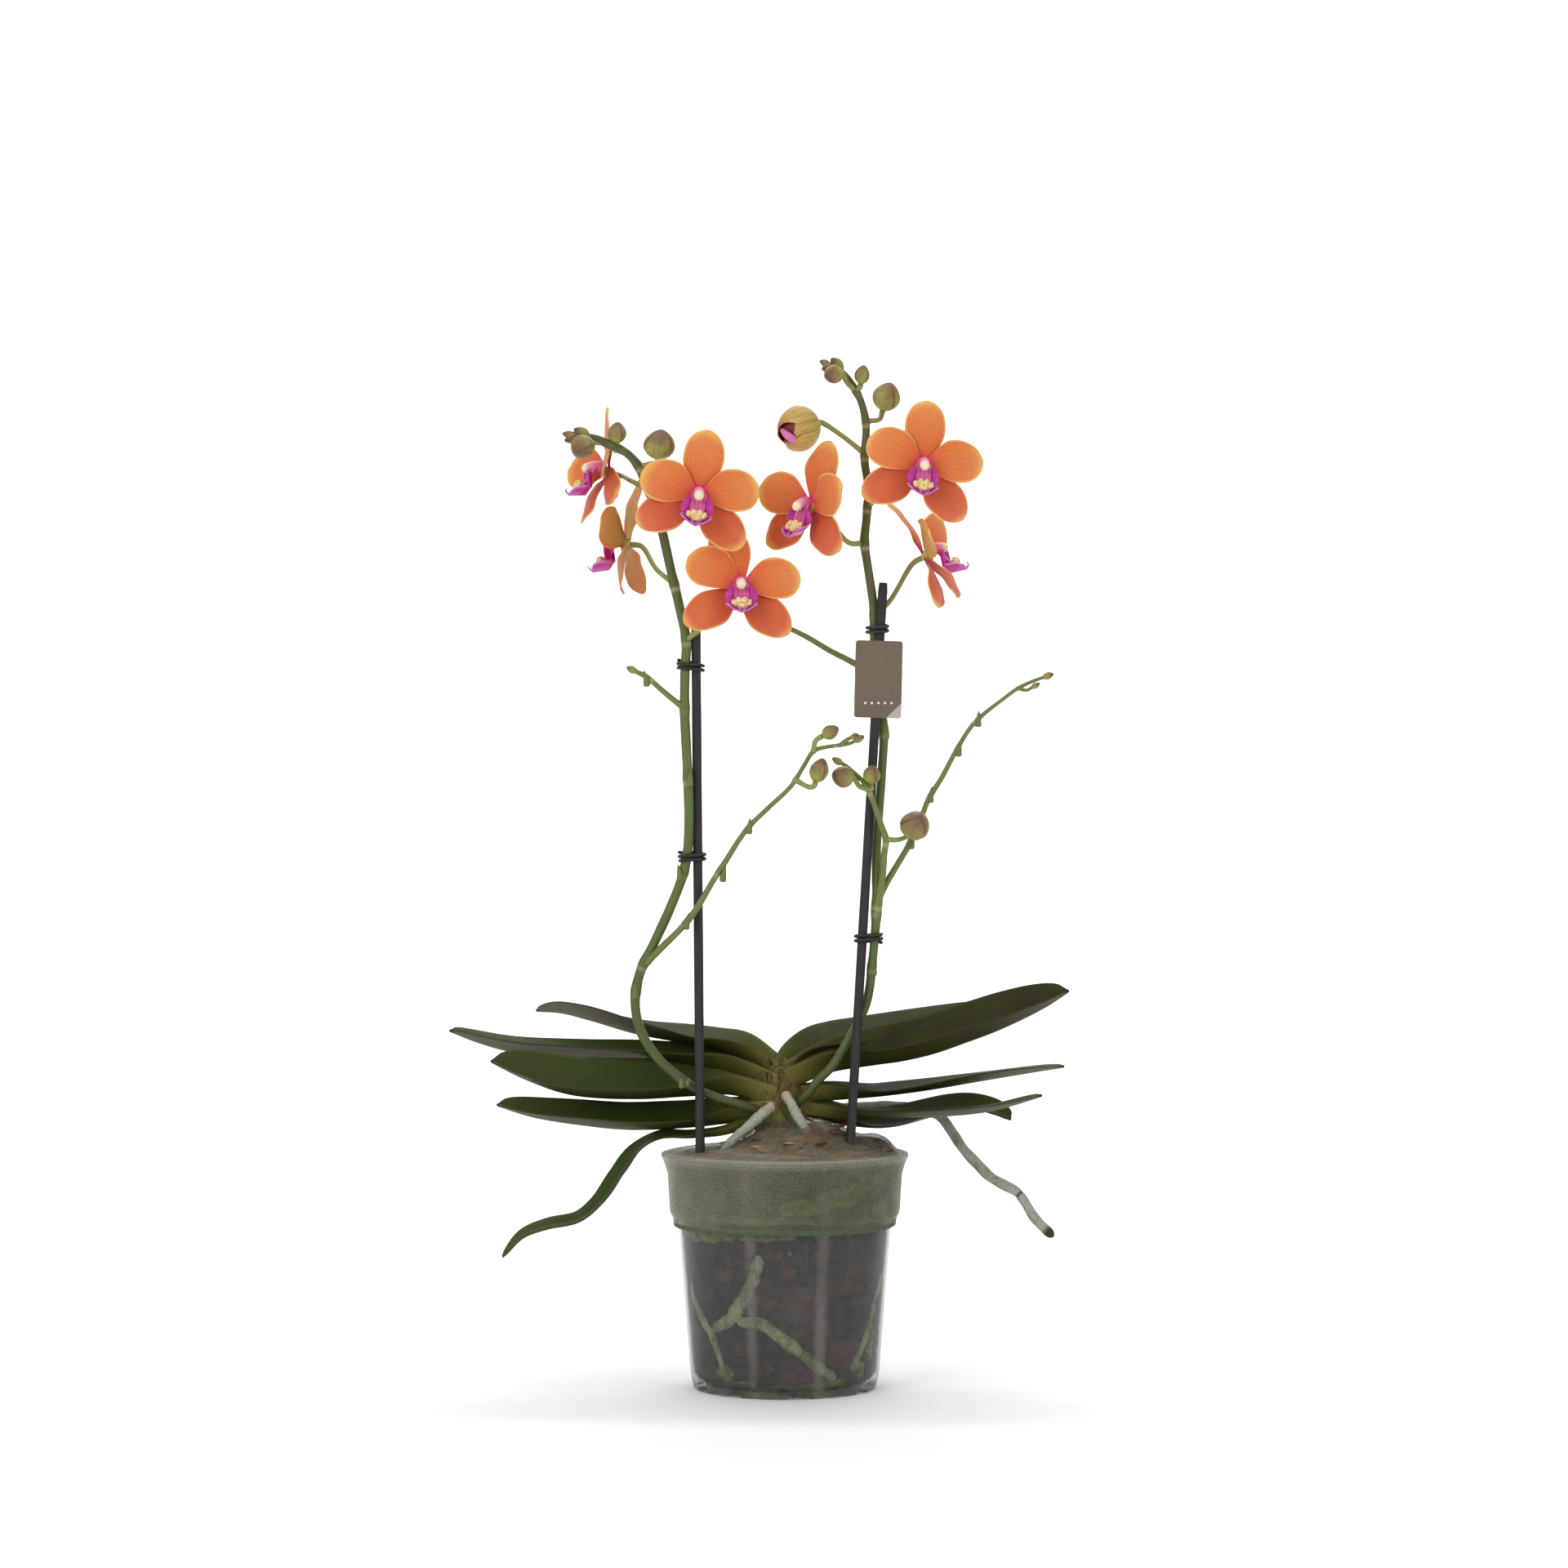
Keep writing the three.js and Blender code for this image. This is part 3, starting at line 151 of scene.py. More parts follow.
def shell(points, quads, tris=None, finish=0, **facts):
    """A closed set of faces, turned outwards: the sum of each corner triangle's volume with the origin is
    positive when faces point out."""
    tris = np.zeros((0, 3), int) if tris is None else tris
    halves = np.vstack([quads[:, [0, 1, 2]], quads[:, [0, 2, 3]], tris])
    a, b, c = (points[halves[:, k]] for k in range(3))
    if (np.cross(a, b) * c).sum() < 0:
        quads, tris = quads[:, ::-1], tris[:, ::-1]
    return dict(points=points, quads=quads, tris=tris, finish=finish, facts=facts)


def loft(rings, start, end, finish=0, **facts):
    """Rings of points joined in order, and closed at both ends by a fan to a point. facts are spread over
    the same grid."""
    count, sides = rings.shape[:2]
    k = np.arange(sides)
    following = (k + 1) % sides
    first, last = np.full(sides, count * sides), np.full(sides, count * sides + 1)
    base = (count - 1) * sides
    fans = [np.stack([first, following, k], 1), np.stack([last, base + k, base + following], 1)]
    flat = {}
    for name, value in facts.items():
        grid = np.broadcast_to(value, (count, sides))
        flat[name] = np.append(grid.ravel(), [grid[0].mean(), grid[-1].mean()])
    points = np.vstack([rings.reshape(-1, 3), [start], [end]])
    return shell(points, grid_faces(count, sides, True), np.vstack(fans), finish, **flat)


def tube(path, radius, rings=40, sides=14, domes=(1, 1), finish=0, squeeze=None, **facts):
    """A rod along a path: at each place, middle + radius x (cosine x one side + sine x the other). radius
    takes the share of length. Each end has a dome of three rings, as long as domes says in radii.
    squeeze(share, turn) may scale the radius round each ring."""
    shares = np.linspace(0, 1, rings)
    middle, way, _ = follow(path, shares)
    far = np.eye(3)[np.argmin(np.abs(way).max(axis=0))]
    side = unit(np.cross(way, far))
    up = np.cross(side, way)
    thick = np.broadcast_to(np.asarray(radius(shares), float), shares.shape)
    parts = []
    for end, sign, dome in ((0, -1, domes[0]), (-1, 1, domes[1])):
        angle = DOME_ANGLES if sign < 0 else DOME_ANGLES[::-1]
        lift = middle[end] + sign * dome * thick[end] * np.sin(angle)[:, None] * way[end]
        parts.append((lift, thick[end] * np.cos(angle)))
    middle_all = np.vstack([parts[0][0], middle, parts[1][0]])
    thick_all = np.concatenate([parts[0][1], thick, parts[1][1]])
    side_all, up_all = (np.vstack([np.repeat(v[:1], 3, 0), v, np.repeat(v[-1:], 3, 0)]) for v in (side, up))
    share_all = np.concatenate([np.zeros(3), shares, np.ones(3)])
    turn = even_turns(sides)
    wide = thick_all[:, None] * np.ones(sides)
    if squeeze is not None:
        wide = wide * squeeze(share_all[:, None], turn[None, :])
    ring = np.cos(turn)[None, :, None] * side_all[:, None] + np.sin(turn)[None, :, None] * up_all[:, None]
    rings_made = middle_all[:, None] + wide[..., None] * ring
    grids = {"along": share_all[:, None], "around": turn / (2 * np.pi)}
    for name, value in facts.items():
        grids[name] = value(share_all)[:, None] if callable(value) else value
    start = middle[0] - domes[0] * thick[0] * way[0]
    end = middle[-1] + domes[1] * thick[-1] * way[-1]
    return loft(rings_made, start, end, finish, **grids)


def blade(middle, thick, towards, **facts):
    """A grid of points given a thickness: half of it to each side along the normal, which is the cross
    product of the grid's two directions. towards is a direction on its upper side, where the fact upper is
    1."""
    rows, cols = middle.shape[:2]
    normal = unit(np.cross(np.gradient(middle, axis=1), np.gradient(middle, axis=0)))
    if (normal * np.asarray(towards)).sum() < 0:
        normal = -normal
    half = normal * np.broadcast_to(thick, (rows, cols))[..., None] / 2
    points = np.vstack([(middle + half).reshape(-1, 3), (middle - half).reshape(-1, 3)])
    index = np.arange(rows * cols).reshape(rows, cols)
    rim = np.concatenate([index[0, :-1], index[:-1, -1], index[-1, :0:-1], index[:0:-1, 0]])
    after = np.roll(rim, -1)
    under = rows * cols
    quads = grid_faces(rows, cols)
    edge = np.stack([rim, rim + under, after + under, after], 1)
    quads = np.vstack([quads, quads[:, ::-1] + under, edge])
    flat = {name: np.tile(np.broadcast_to(grid, (rows, cols)).ravel(), 2) for name, grid in facts.items()}
    flat["upper"] = np.repeat([1.0, 0.0], under)
    return shell(points, quads, **flat)


# %% Pieces
def mesh_of(name, points, faces, facts, finishes):
    """A smooth mesh in metres from points in millimetres, with each fact as an attribute that a finish
    reads."""
    mesh = bpy.data.meshes.new(name)
    mesh.from_pydata((points / 1000).tolist(), [], faces)
    for fact, values in facts.items():
        mesh.attributes.new(fact, "FLOAT", "POINT").data.foreach_set("value", values.astype(np.float32))
    mesh.polygons.foreach_set("use_smooth", np.ones(len(faces), bool))
    for finish in finishes:
        mesh.materials.append(finish)
    return mesh


def piece(name, shells, finishes, node=None):
    """One object from several shells. A shell without a fact has 0 for it. The piece rides on the plant's
    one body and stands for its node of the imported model."""
    counts = np.cumsum([0] + [len(s["points"]) for s in shells])
    faces, facts = [], {}
    for s, start in zip(shells, counts):
        faces += (s["quads"] + start).tolist() + (s["tris"] + start).tolist()
    for fact in sorted({f for s in shells for f in s["facts"]}):
        facts[fact] = np.concatenate([s["facts"].get(fact, np.zeros(len(s["points"]))) for s in shells])
    mesh = mesh_of(name, np.vstack([s["points"] for s in shells]), faces, facts, finishes)
    which = np.concatenate([np.full(len(s["quads"]) + len(s["tris"]), s["finish"]) for s in shells])
    mesh.polygons.foreach_set("material_index", which.astype(np.int32))
    mesh.update()
    made = shown(name, mesh)
    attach(made, "root")
    if node:
        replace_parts(made, node)
    return made


# %% [markdown]
# ## Ways to mix a finish
#
# Each finish is one shader with a few nodes before it. Facts that a surface carries, such as how far
# along a petal a point is, drive the broad colours. Noise in object coordinates adds what is irregular. A
# bump gives the fine relief that would cost too many faces. Colours are written as they look on a screen,
# 0 to 255, and turned into the linear light that a shader works in.


# %% Finish helper
NOISE_SPAN = (0.3, 0.7)  # a noise goes from 0 to 1, but most of it lies between these


def paint(red, green, blue):
    """A screen colour in linear light: the 2.4 power of (share + 0.055) over 1.055, straight near black."""
    share = np.array([red, green, blue]) / 255
    linear = np.where(share <= 0.04045, share / 12.92, ((share + 0.055) / 1.055) ** 2.4)
    return (*linear.tolist(), 1.0)


class Finish:
    """A material, with short ways to add a node and feed it."""

    def __init__(self, name, **sockets):
        self.material = bpy.data.materials.new(name)
        self.material.use_nodes = True
        self.tree = self.material.node_tree
        self.shader = self.tree.nodes["Principled BSDF"]
        for socket, value in sockets.items():
            self.shader.inputs[socket.replace("_", " ")].default_value = value
        self.spot = self.node("TexCoord").outputs["Object"]

    def node(self, kind, feeds=None, **settings):
        made = self.tree.nodes.new("ShaderNode" + kind)
        for key, value in settings.items():
            setattr(made, key, value)
        for key, value in (feeds or {}).items():
            self.feed(made.inputs[key], value)
        return made

    def feed(self, socket, value):
        if isinstance(value, bpy.types.NodeSocket):
            self.tree.links.new(value, socket)
        else:
            socket.default_value = value

    def fact(self, name):
        return self.node("Attribute", attribute_name=name).outputs["Fac"]

    def stretched(self, x, y, z):
        """The place with each axis scaled: a number under 1 draws a pattern out along it."""
        return self.node("Mapping", {"Vector": self.spot, "Scale": (x, y, z)}).outputs[0]

    def noise(self, scale, at=None, detail=3.0):
        """A noise of 0 to 1 with scale features a metre."""
        feeds = {"Vector": at or self.spot, "Scale": scale, "Detail": detail, "Roughness": 0.55}
        return self.node("TexNoise", feeds).outputs[0]

    def axes(self):
        """X, Y and Z of the place, in metres."""
        return self.node("SeparateXYZ", {0: self.spot}).outputs

    def maths(self, operation, a, b=0.5, clamp=False):
        return self.node("Math", {0: a, 1: b}, operation=operation, use_clamp=clamp).outputs[0]

    def plus(self, a, b, clamp=False):
        return self.maths("ADD", a, b, clamp)

    def minus(self, a, b, clamp=False):
        return self.maths("SUBTRACT", a, b, clamp)

    def times(self, a, b):
        return self.maths("MULTIPLY", a, b)

    def size_of(self, value):
        return self.maths("ABSOLUTE", value)

    def wave(self, value):
        return self.maths("SINE", value)

    def edge_on(self, power):
        """Near 1 where the surface is seen edge-on, and steeper with a higher power."""
        return self.maths("POWER", self.node("LayerWeight", {"Blend": 0.5}).outputs["Facing"], power)

    def between(self, value, low, high, start=0.0, end=1.0):
        """The value's place between low and high, clamped, as a number from start to end. low may be the
        larger of the two."""
        feeds = {"Value": value, "From Min": low, "From Max": high, "To Min": start, "To Max": end}
        return self.node("MapRange", feeds).outputs[0]

    def ramp(self, value, *stops):
        """Colours along a value. Each stop is a place from 0 to 1, and red, green and blue."""
        made = self.node("ValToRGB", {"Fac": value})
        for k, (place, *colour) in enumerate(stops):
            stop = made.color_ramp.elements[k] if k < 2 else made.color_ramp.elements.new(place)
            stop.position, stop.color = place, paint(*colour)
        return made.outputs[0]

    def mix(self, share, under, over):
        """A share of one colour over another. Each is a socket, or red, green and blue. A Mix node takes
        the share at socket 0 and its two colours at sockets 6 and 7."""
        under, over = (paint(*c) if isinstance(c, tuple) else c for c in (under, over))
        return self.node("Mix", {0: share, 6: under, 7: over}, data_type="RGBA").outputs[2]

    def relief(self, height, deep):
        """The shader's normal, bumped by a height of 0 to 1 that stands for deep millimetres."""
        feeds = {"Height": height, "Distance": deep / 1000, "Strength": 1.0}
        self.feed(self.shader.inputs["Normal"], self.node("Bump", feeds).outputs[0])

    def done(self, colour, noise, low, high, span=NOISE_SPAN):
        """The material, with its colour, and a roughness from low to high over the span of a noise."""
        self.feed(self.shader.inputs["Base Color"], colour)
        self.feed(self.shader.inputs["Roughness"], self.between(noise, *span, low, high))
        return self.material


# %% [markdown]
# ## The pot
#
# A 12 cm grower's pot is one thin wall of clear plastic: a foot ring, a straight taper, a step out to the
# collar and a flared rim. It could be a cylinder with a Solidify modifier, but its wall isn't even, so
# the whole closed profile is turned round Z. Drain slots and foot notches are cut with one Boolean, which
# is then applied. The plastic is misted, so a plain alpha on a satin shader is closer to it than clear
# glass.

# %% Pot sizes, mm
POT_WALL = 0.9
FOOT_RADIUS, FOOT_HEIGHT, BASE_RADIUS = 44.5, 6, 46
STEP_HEIGHT, STEP_RADIUS = 81.5, 52.1
COLLAR_RADIUS, COLLAR_TOP = 55.7, 57
RIM_RADIUS, RIM_HEIGHT = 59.2, 114
FLOOR_HEIGHT, CENTRE_FOOT = 3, 15
CUTS = 8  # as many drain slots, and as many notches in the foot ring


def pot_radius(z):
    """The wall's outer radius at a height: three straight lines, for the foot, the taper and the collar."""
    foot = FOOT_RADIUS + (BASE_RADIUS - FOOT_RADIUS) * z / FOOT_HEIGHT
    taper = BASE_RADIUS + (STEP_RADIUS - BASE_RADIUS) * (z - FOOT_HEIGHT) / (STEP_HEIGHT - FOOT_HEIGHT)
    collar = COLLAR_RADIUS + 1.4 * np.clip((z - STEP_HEIGHT - 3) / 20, 0, 1)
    return np.where(z < FOOT_HEIGHT, foot, np.where(z < STEP_HEIGHT, taper, collar))


def softened(profile, reach=0.35):
    """A profile whose corners are cut short: each corner becomes a point just before, one near it that is
    drawn in, and one just after, at most two fifths of the way to the next corner."""
    p = np.array(profile, float)
    back, on = unit(p[:-2] - p[1:-1]), unit(p[2:] - p[1:-1])
    gap = np.linalg.norm(np.diff(p, axis=0), axis=1)
    r = np.minimum(reach, np.minimum(gap[:-1], gap[1:]) * 0.4)[:, None]
    corner = p[1:-1] + (back + on) * r * 0.25
    three = np.stack([p[1:-1] + back * r, corner, p[1:-1] + on * r], axis=1).reshape(-1, 2)
    return np.vstack([p[:1], three, p[-1:]])


def turned(profile, sides):
    """A profile of radius and height turned round Z: (r cos a, r sin a, z). It starts and ends on the
    axis."""
    p = np.array(profile, float)
    a = even_turns(sides)
    r, z = p[1:-1, :1], p[1:-1, 1:]
    rings = np.stack([r * np.cos(a), r * np.sin(a), z * np.ones(sides)], axis=-1)
    return loft(rings, (0, 0, p[0, 1]), (0, 0, p[-1, 1]))


# %% Clear plastic
# Painted reflections: pale upright bands where soft boxes would show in the plastic, two at the front
# lights' angles and four more round the back
REFLECTION_BANDS = ((-19, 4), (21, 4.5), (95, 5), (140, 5), (-150, 6), (-100, 4))  # angle and half width, degrees


def clear_plastic():
    """Neutral grey, see-through, a little misted: fine scuffs in its roughness, faint ripples in its
    relief, and pale upright bands painted as reflections of the soft boxes, each where the cosine of
    the turn from its angle is near 1.
    Green-brown dirt sits in patches on its foot. As glass does, it looks denser where it is seen
    edge-on."""
    f = Finish("misted clear plastic", IOR=1.49, Coat_Weight=0.2, Coat_Roughness=0.12)
    axes = f.axes()
    turn = f.maths("ARCTAN2", axes[0], f.times(axes[1], -1.0))
    haze = f.noise(34, detail=4)
    painted_reflection = 0.0
    for angle, wide in REFLECTION_BANDS:
        near = f.maths("COSINE", f.minus(turn, float(np.radians(angle))))
        band = f.between(near, float(np.cos(np.radians(wide))), 1.0)
        painted_reflection = f.plus(painted_reflection, band)
    painted_reflection = f.times(painted_reflection, f.between(haze, 0.35, 0.7, 0.35, 1))
    colour = f.mix(f.between(haze, 0.3, 0.7), (100, 102, 99), (126, 125, 122))
    # painted reflection: the bands turn the plastic pinkish grey, and below make it a little more opaque
    colour = f.mix(painted_reflection, colour, (158, 148, 144))
    dirt = f.times(f.between(axes[2], 0.007, 0.002), f.between(f.noise(120, detail=4), 0.38, 0.55))
    colour = f.mix(dirt, colour, (92, 94, 66))
    solid = f.plus(f.times(painted_reflection, 0.18), f.times(f.edge_on(4.0), 0.5))
    solid = f.plus(solid, f.times(dirt, 0.5))
    f.feed(f.shader.inputs["Alpha"], f.plus(0.15, solid))
    scuffs = f.noise(900, f.stretched(1, 1, 0.15), detail=2)
    f.relief(haze, 0.3)
    return f.done(colour, scuffs, 0.2, 0.34)


PLASTIC = clear_plastic()

# %% Pot wall
outer = [(0, 0), (CENTRE_FOOT - 2, 0), (CENTRE_FOOT, FLOOR_HEIGHT), (FOOT_RADIUS - 5, FLOOR_HEIGHT)]
outer += [(FOOT_RADIUS - 4, 0), (FOOT_RADIUS, 0), (BASE_RADIUS, FOOT_HEIGHT)]
outer += [(STEP_RADIUS, STEP_HEIGHT), (COLLAR_RADIUS, STEP_HEIGHT + 3), (COLLAR_TOP, RIM_HEIGHT - 10)]
outer += [(RIM_RADIUS - 1.2, RIM_HEIGHT - 4), (RIM_RADIUS, RIM_HEIGHT)]
inner = [(RIM_RADIUS - 1.6, RIM_HEIGHT), (RIM_RADIUS - 2.2, RIM_HEIGHT - 4)]
inner += [(COLLAR_TOP - POT_WALL, RIM_HEIGHT - 10), (COLLAR_RADIUS - POT_WALL, STEP_HEIGHT + 3.4)]
inner += [(STEP_RADIUS - POT_WALL, STEP_HEIGHT + 0.4), (BASE_RADIUS - POT_WALL, FLOOR_HEIGHT + 4.5)]
inner += [(FOOT_RADIUS - 1.5 - POT_WALL, FLOOR_HEIGHT + 1.5), (CENTRE_FOOT - 1, FLOOR_HEIGHT + 1.5)]
inner += [(CENTRE_FOOT - 3, 1.5), (0, 1.5)]
pot = piece("pot.wall", [turned(softened(outer + inner), 160)], [PLASTIC], "pot")


def boxes_round(count, shift, size, middle):
    """Closed boxes at even turns round Z, as one shell: eight corners each, turned by angle. shift turns
    all of them by that share of the space between two."""
    half = (-0.5, 0.5)
    corners = np.array([(x, y, z) for x in half for y in half for z in half]) * size + middle
    a = 2 * np.pi * (np.arange(count) + shift) / count
    x = corners[:, 0] * np.cos(a)[:, None] - corners[:, 1] * np.sin(a)[:, None]
    y = corners[:, 0] * np.sin(a)[:, None] + corners[:, 1] * np.cos(a)[:, None]
    points = np.stack([x, y, np.broadcast_to(corners[:, 2], x.shape)], axis=-1).reshape(-1, 3)
    six = np.array([(0, 1, 3, 2), (4, 6, 7, 5), (0, 4, 5, 1), (2, 3, 7, 6), (0, 2, 6, 4), (1, 5, 7, 3)])
    return shell(points, (six + 8 * np.arange(count)[:, None, None]).reshape(-1, 4))


def cut_away(target, shells):
    """Cuts shells out of a piece, and keeps the result as the piece's own mesh."""
    cutter = piece("cutter", shells, [])
    trim = target.modifiers.new("cut", "BOOLEAN")
    trim.operation, trim.object, trim.solver = "DIFFERENCE", cutter, "EXACT"
    bpy.context.view_layer.update()
    done = bpy.data.meshes.new_from_object(target.evaluated_get(bpy.context.evaluated_depsgraph_get()))
    target.modifiers.clear()
    target.data = done
    bpy.data.objects.remove(cutter)


drains = boxes_round(CUTS, 0.5, (12, 4.5, 6), (27, 0, FLOOR_HEIGHT + 1))
notches = boxes_round(CUTS, 0.25, (8, 9, 3), (FOOT_RADIUS - 2, 0, 0))
cut_away(pot, [drains, notches])
print("pot faces:", len(pot.data.polygons), "after", CUTS, "drains and", CUTS, "notches")

# %% [markdown]
# ## The bark
#
# Damp pine bark fills the pot. Thousands of loose chips would be heavy and mostly hidden, so one closed
# skin carries them: each point belongs to the nearest of many seeded middles, its chip, and sinks towards
# the border between two chips. The chip's own number drives its colour, and moss grows in a few patches
# against the wall. Loose chips lie on the heap, where the net shows them.


# %% Roots in the pot
def table(keys, rows):
    """A dict for each row's name, with a value for each of the keys."""
    return {name: dict(zip(keys.split(), values)) for name, *values in rows}


# wall: degrees round the pot from +X and a height, at each place on it
POT_ROOTS = table("radius leaves wall", [
    ("root_in_pot_1", 3.9, 232, [(256, 74), (253, 62), (247, 52), (241, 44.6), (235, 38.6), (223.5, 33.5)]),
    ("root_in_pot_2", 3.6, 290, [
        (236, 40), (243, 36.5), (254, 36.5), (265, 31), (278, 23.5), (293, 14.5), (301, 11),
    ]),
    ("root_in_pot_3", 2.3, 183, [(188, 62), (197, 48), (211, 35), (221, 25), (225, 16), (229, 10.5)]),
    ("root_in_pot_4", 2.6, 340, [(352, 66), (345, 50), (332, 30), (320, 14)]),
    ("root_in_pot_5", 2.8, 50, [(50, 70), (66, 56), (88, 40), (114, 26), (134, 14)]),
])


def pot_root_path(radius, leaves, wall):
    """From the stem out through the bark, towards the angle leaves, and then down along the wall: each
    place on it is an angle round the pot and a height, at the wall's radius less the root's own. It comes
    out of the bark after the first one."""
    turn, z = np.radians([a for a, _ in wall]), np.array([h for _, h in wall], float)
    r = pot_radius(z) - POT_WALL - 1.1 * radius - 0.3 - 3.5 * (np.arange(len(wall)) == 0)
    on_wall = np.stack([r * np.cos(turn), r * np.sin(turn), z], axis=-1)
    out = np.array([np.cos(np.radians(leaves)), np.sin(np.radians(leaves))])
    start = [-2 + out[0] * 8.5, out[1] * 7, 109]
    between = [*((on_wall[0, :2] + 12 * out) / 2), (on_wall[0, 2] + 118) / 2]
    return [start, between, *on_wall.tolist()]


def root_grooves(points):
    """How deep the bark gives way to roots: a radius and a half over one, and nothing two radii away."""
    deep = np.zeros(len(points))
    for root in POT_ROOTS.values():
        line, _, _ = follow(pot_root_path(**root), np.linspace(0.3, 1, 130))
        r = root["radius"]
        line = line[np.hypot(line[:, 0], line[:, 1]) > pot_radius(line[:, 2]) - POT_WALL - 1.1 * r - 1.4]
        apart = np.linalg.norm(points[:, None] - line[None], axis=2).min(axis=1)
        deep = np.maximum(deep, 1.5 * r * (1 - smooth((apart - 0.75 * r) / r)))
    return deep


# %% Heap of bark
HEAP_RISE, RIDGE_RISE, LUMP_RISE = 13.4, 5.4, 2.2


def mound(x, y):
    """How far the bark rises over the rim: a flat-topped heap round the plant's neck, with a slow ripple,
    gone at 55 mm from the middle, a lump under the right root, and a ridge along the far right of the
    rim."""
    r = np.hypot(x, y)
    off = np.hypot((x - 7) / 28, (y + 3) / 26)
    ripple = 0.8 * np.sin(0.21 * x + 1.3) * np.cos(0.17 * y - 0.4)
    heap = (HEAP_RISE / (1 + off**4.5) + ripple) * (1 - smooth((r - 40) / 15))
    ridge = RIDGE_RISE * bump(np.hypot((x - 46) / 11, (y - 14) / 15), 1) * (1 - smooth((r - 52) / 6))
    return heap + ridge + LUMP_RISE * bump(np.hypot((x - 17) / 9, (y + 8) / 9), 1)


def over_bark(x, y):
    """1 on the heap, falling to 0 at the rim."""
    return 1 - smooth((np.hypot(x, y) - 49) / 8)


# %% Bark skin
def nearest_two(points, middles):
    """The distance to the nearest and next middle, and which is nearest, in slices that fit in memory."""
    found = []
    for part in np.array_split(points, 24):
        apart = np.linalg.norm((part[:, None] - middles[None]) * (1, 1, 1.5), axis=2)
        which = np.argpartition(apart, 1, axis=1)[:, :2]
        two = np.take_along_axis(apart, which, 1)
        order = np.argsort(two, axis=1)
        found.append((np.take_along_axis(two, order, 1), np.take_along_axis(which, order, 1)[:, 0]))
    return np.vstack([f[0] for f in found]), np.concatenate([f[1] for f in found])


CHIPS, LOOSE_CHIPS = 620, 150
BARK_SIDES, BARK_WALL_ROWS, BARK_TOP_ROWS = 216, 78, 36
BARK_FLOOR, BARK_SWELL = 4.7, 1.6
chance = np.random.default_rng(7)
wall_z = np.linspace(FLOOR_HEIGHT + 2.4, RIM_HEIGHT - 5, BARK_WALL_ROWS)
lining = np.array(inner[::-1])[3:-1]
wall_r = np.interp(wall_z, lining[:, 1], lining[:, 0]) - 0.45
top_r = np.linspace(56, 1.5, BARK_TOP_ROWS)
profile_r = np.concatenate([[2, 24, 40.5], wall_r, [56.4], top_r])
top_z = np.full(BARK_TOP_ROWS, RIM_HEIGHT - 1)
profile_z = np.concatenate([np.full(3, BARK_FLOOR), wall_z, [RIM_HEIGHT - 2], top_z])
turn = even_turns(BARK_SIDES)
x, y = profile_r[:, None] * np.cos(turn), profile_r[:, None] * np.sin(turn)
on_top = (profile_z > RIM_HEIGHT - 1.5)[:, None]
z = profile_z[:, None] + on_top * (mound(x, y) + BARK_SWELL * over_bark(x, y))
skin = np.stack([x, y, z], axis=-1)
middles = skin.reshape(-1, 3)[chance.choice(skin.size // 3, CHIPS, replace=False)]
apart, chip = nearest_two(skin.reshape(-1, 3), middles)
border = (1 - smooth((apart[:, 1] - apart[:, 0]) / 1.8)).reshape(z.shape)
sink = 0.9 * border + chance.random(CHIPS)[chip].reshape(z.shape) * 0.55
on_wall = smooth((RIM_HEIGHT - 3 - profile_z) / 2)[:, None]
inwards = np.stack([-x, -y, 0 * x], axis=-1)
inwards = unit(inwards) * on_wall[..., None] + np.array([0, 0, -1]) * (1 - on_wall[..., None])
grooves = root_grooves(skin.reshape(-1, 3)).reshape(z.shape) * on_wall
skin = skin + inwards * ((sink + grooves) * smooth((profile_z - 4) / 3)[:, None])[..., None]


# %% Moss against the wall
def at_angle(x, y):
    """Degrees round the pot from straight ahead, positive to the viewer's right."""
    return np.degrees(np.arctan2(x, -y))


MOSS = [  # angle, height, half width in degrees, half height in mm, strength
    (-54, 78.6, 32, 5.0, 1.0), (-14, 79.6, 26, 3.6, 1.0), (20, 80.4, 18, 2.4, 0.95), (10, 93, 16, 4, 0.95),
    (28, 97, 16, 5.0, 1.0), (48, 101, 16, 6.5, 1.0), (-62, 96, 18, 9, 0.65), (-20, 86, 50, 3.0, 0.7),
    (60, 90, 20, 9, 0.7), (80, 50, 5, 8, 1.0), (55, 11.5, 5, 4.6, 1.0), (33, 6.5, 10, 2.8, 1.0),
    (-30, 6, 14, 3.0, 0.9), (-6, 5, 14, 2.4, 0.8), (16, 5.5, 12, 2.6, 0.85), (-40, 11, 9, 6, 0.7),
    (66, 25, 7, 15, 0.72), (140, 40, 20, 18, 0.5), (-150, 70, 25, 12, 0.5), (178, 88, 60, 6, 0.8),
    (110, 8, 40, 3, 0.9), (-115, 10, 30, 4, 0.9),
]
angle = at_angle(x, y)
moss = np.zeros(z.shape)
for place, height, wide, tall, strength in MOSS:
    away = (angle - place + 180) % 360 - 180
    moss = np.maximum(moss, strength * bump(np.hypot(away / wide, (z - height) / tall), 1))
moss = moss * on_wall


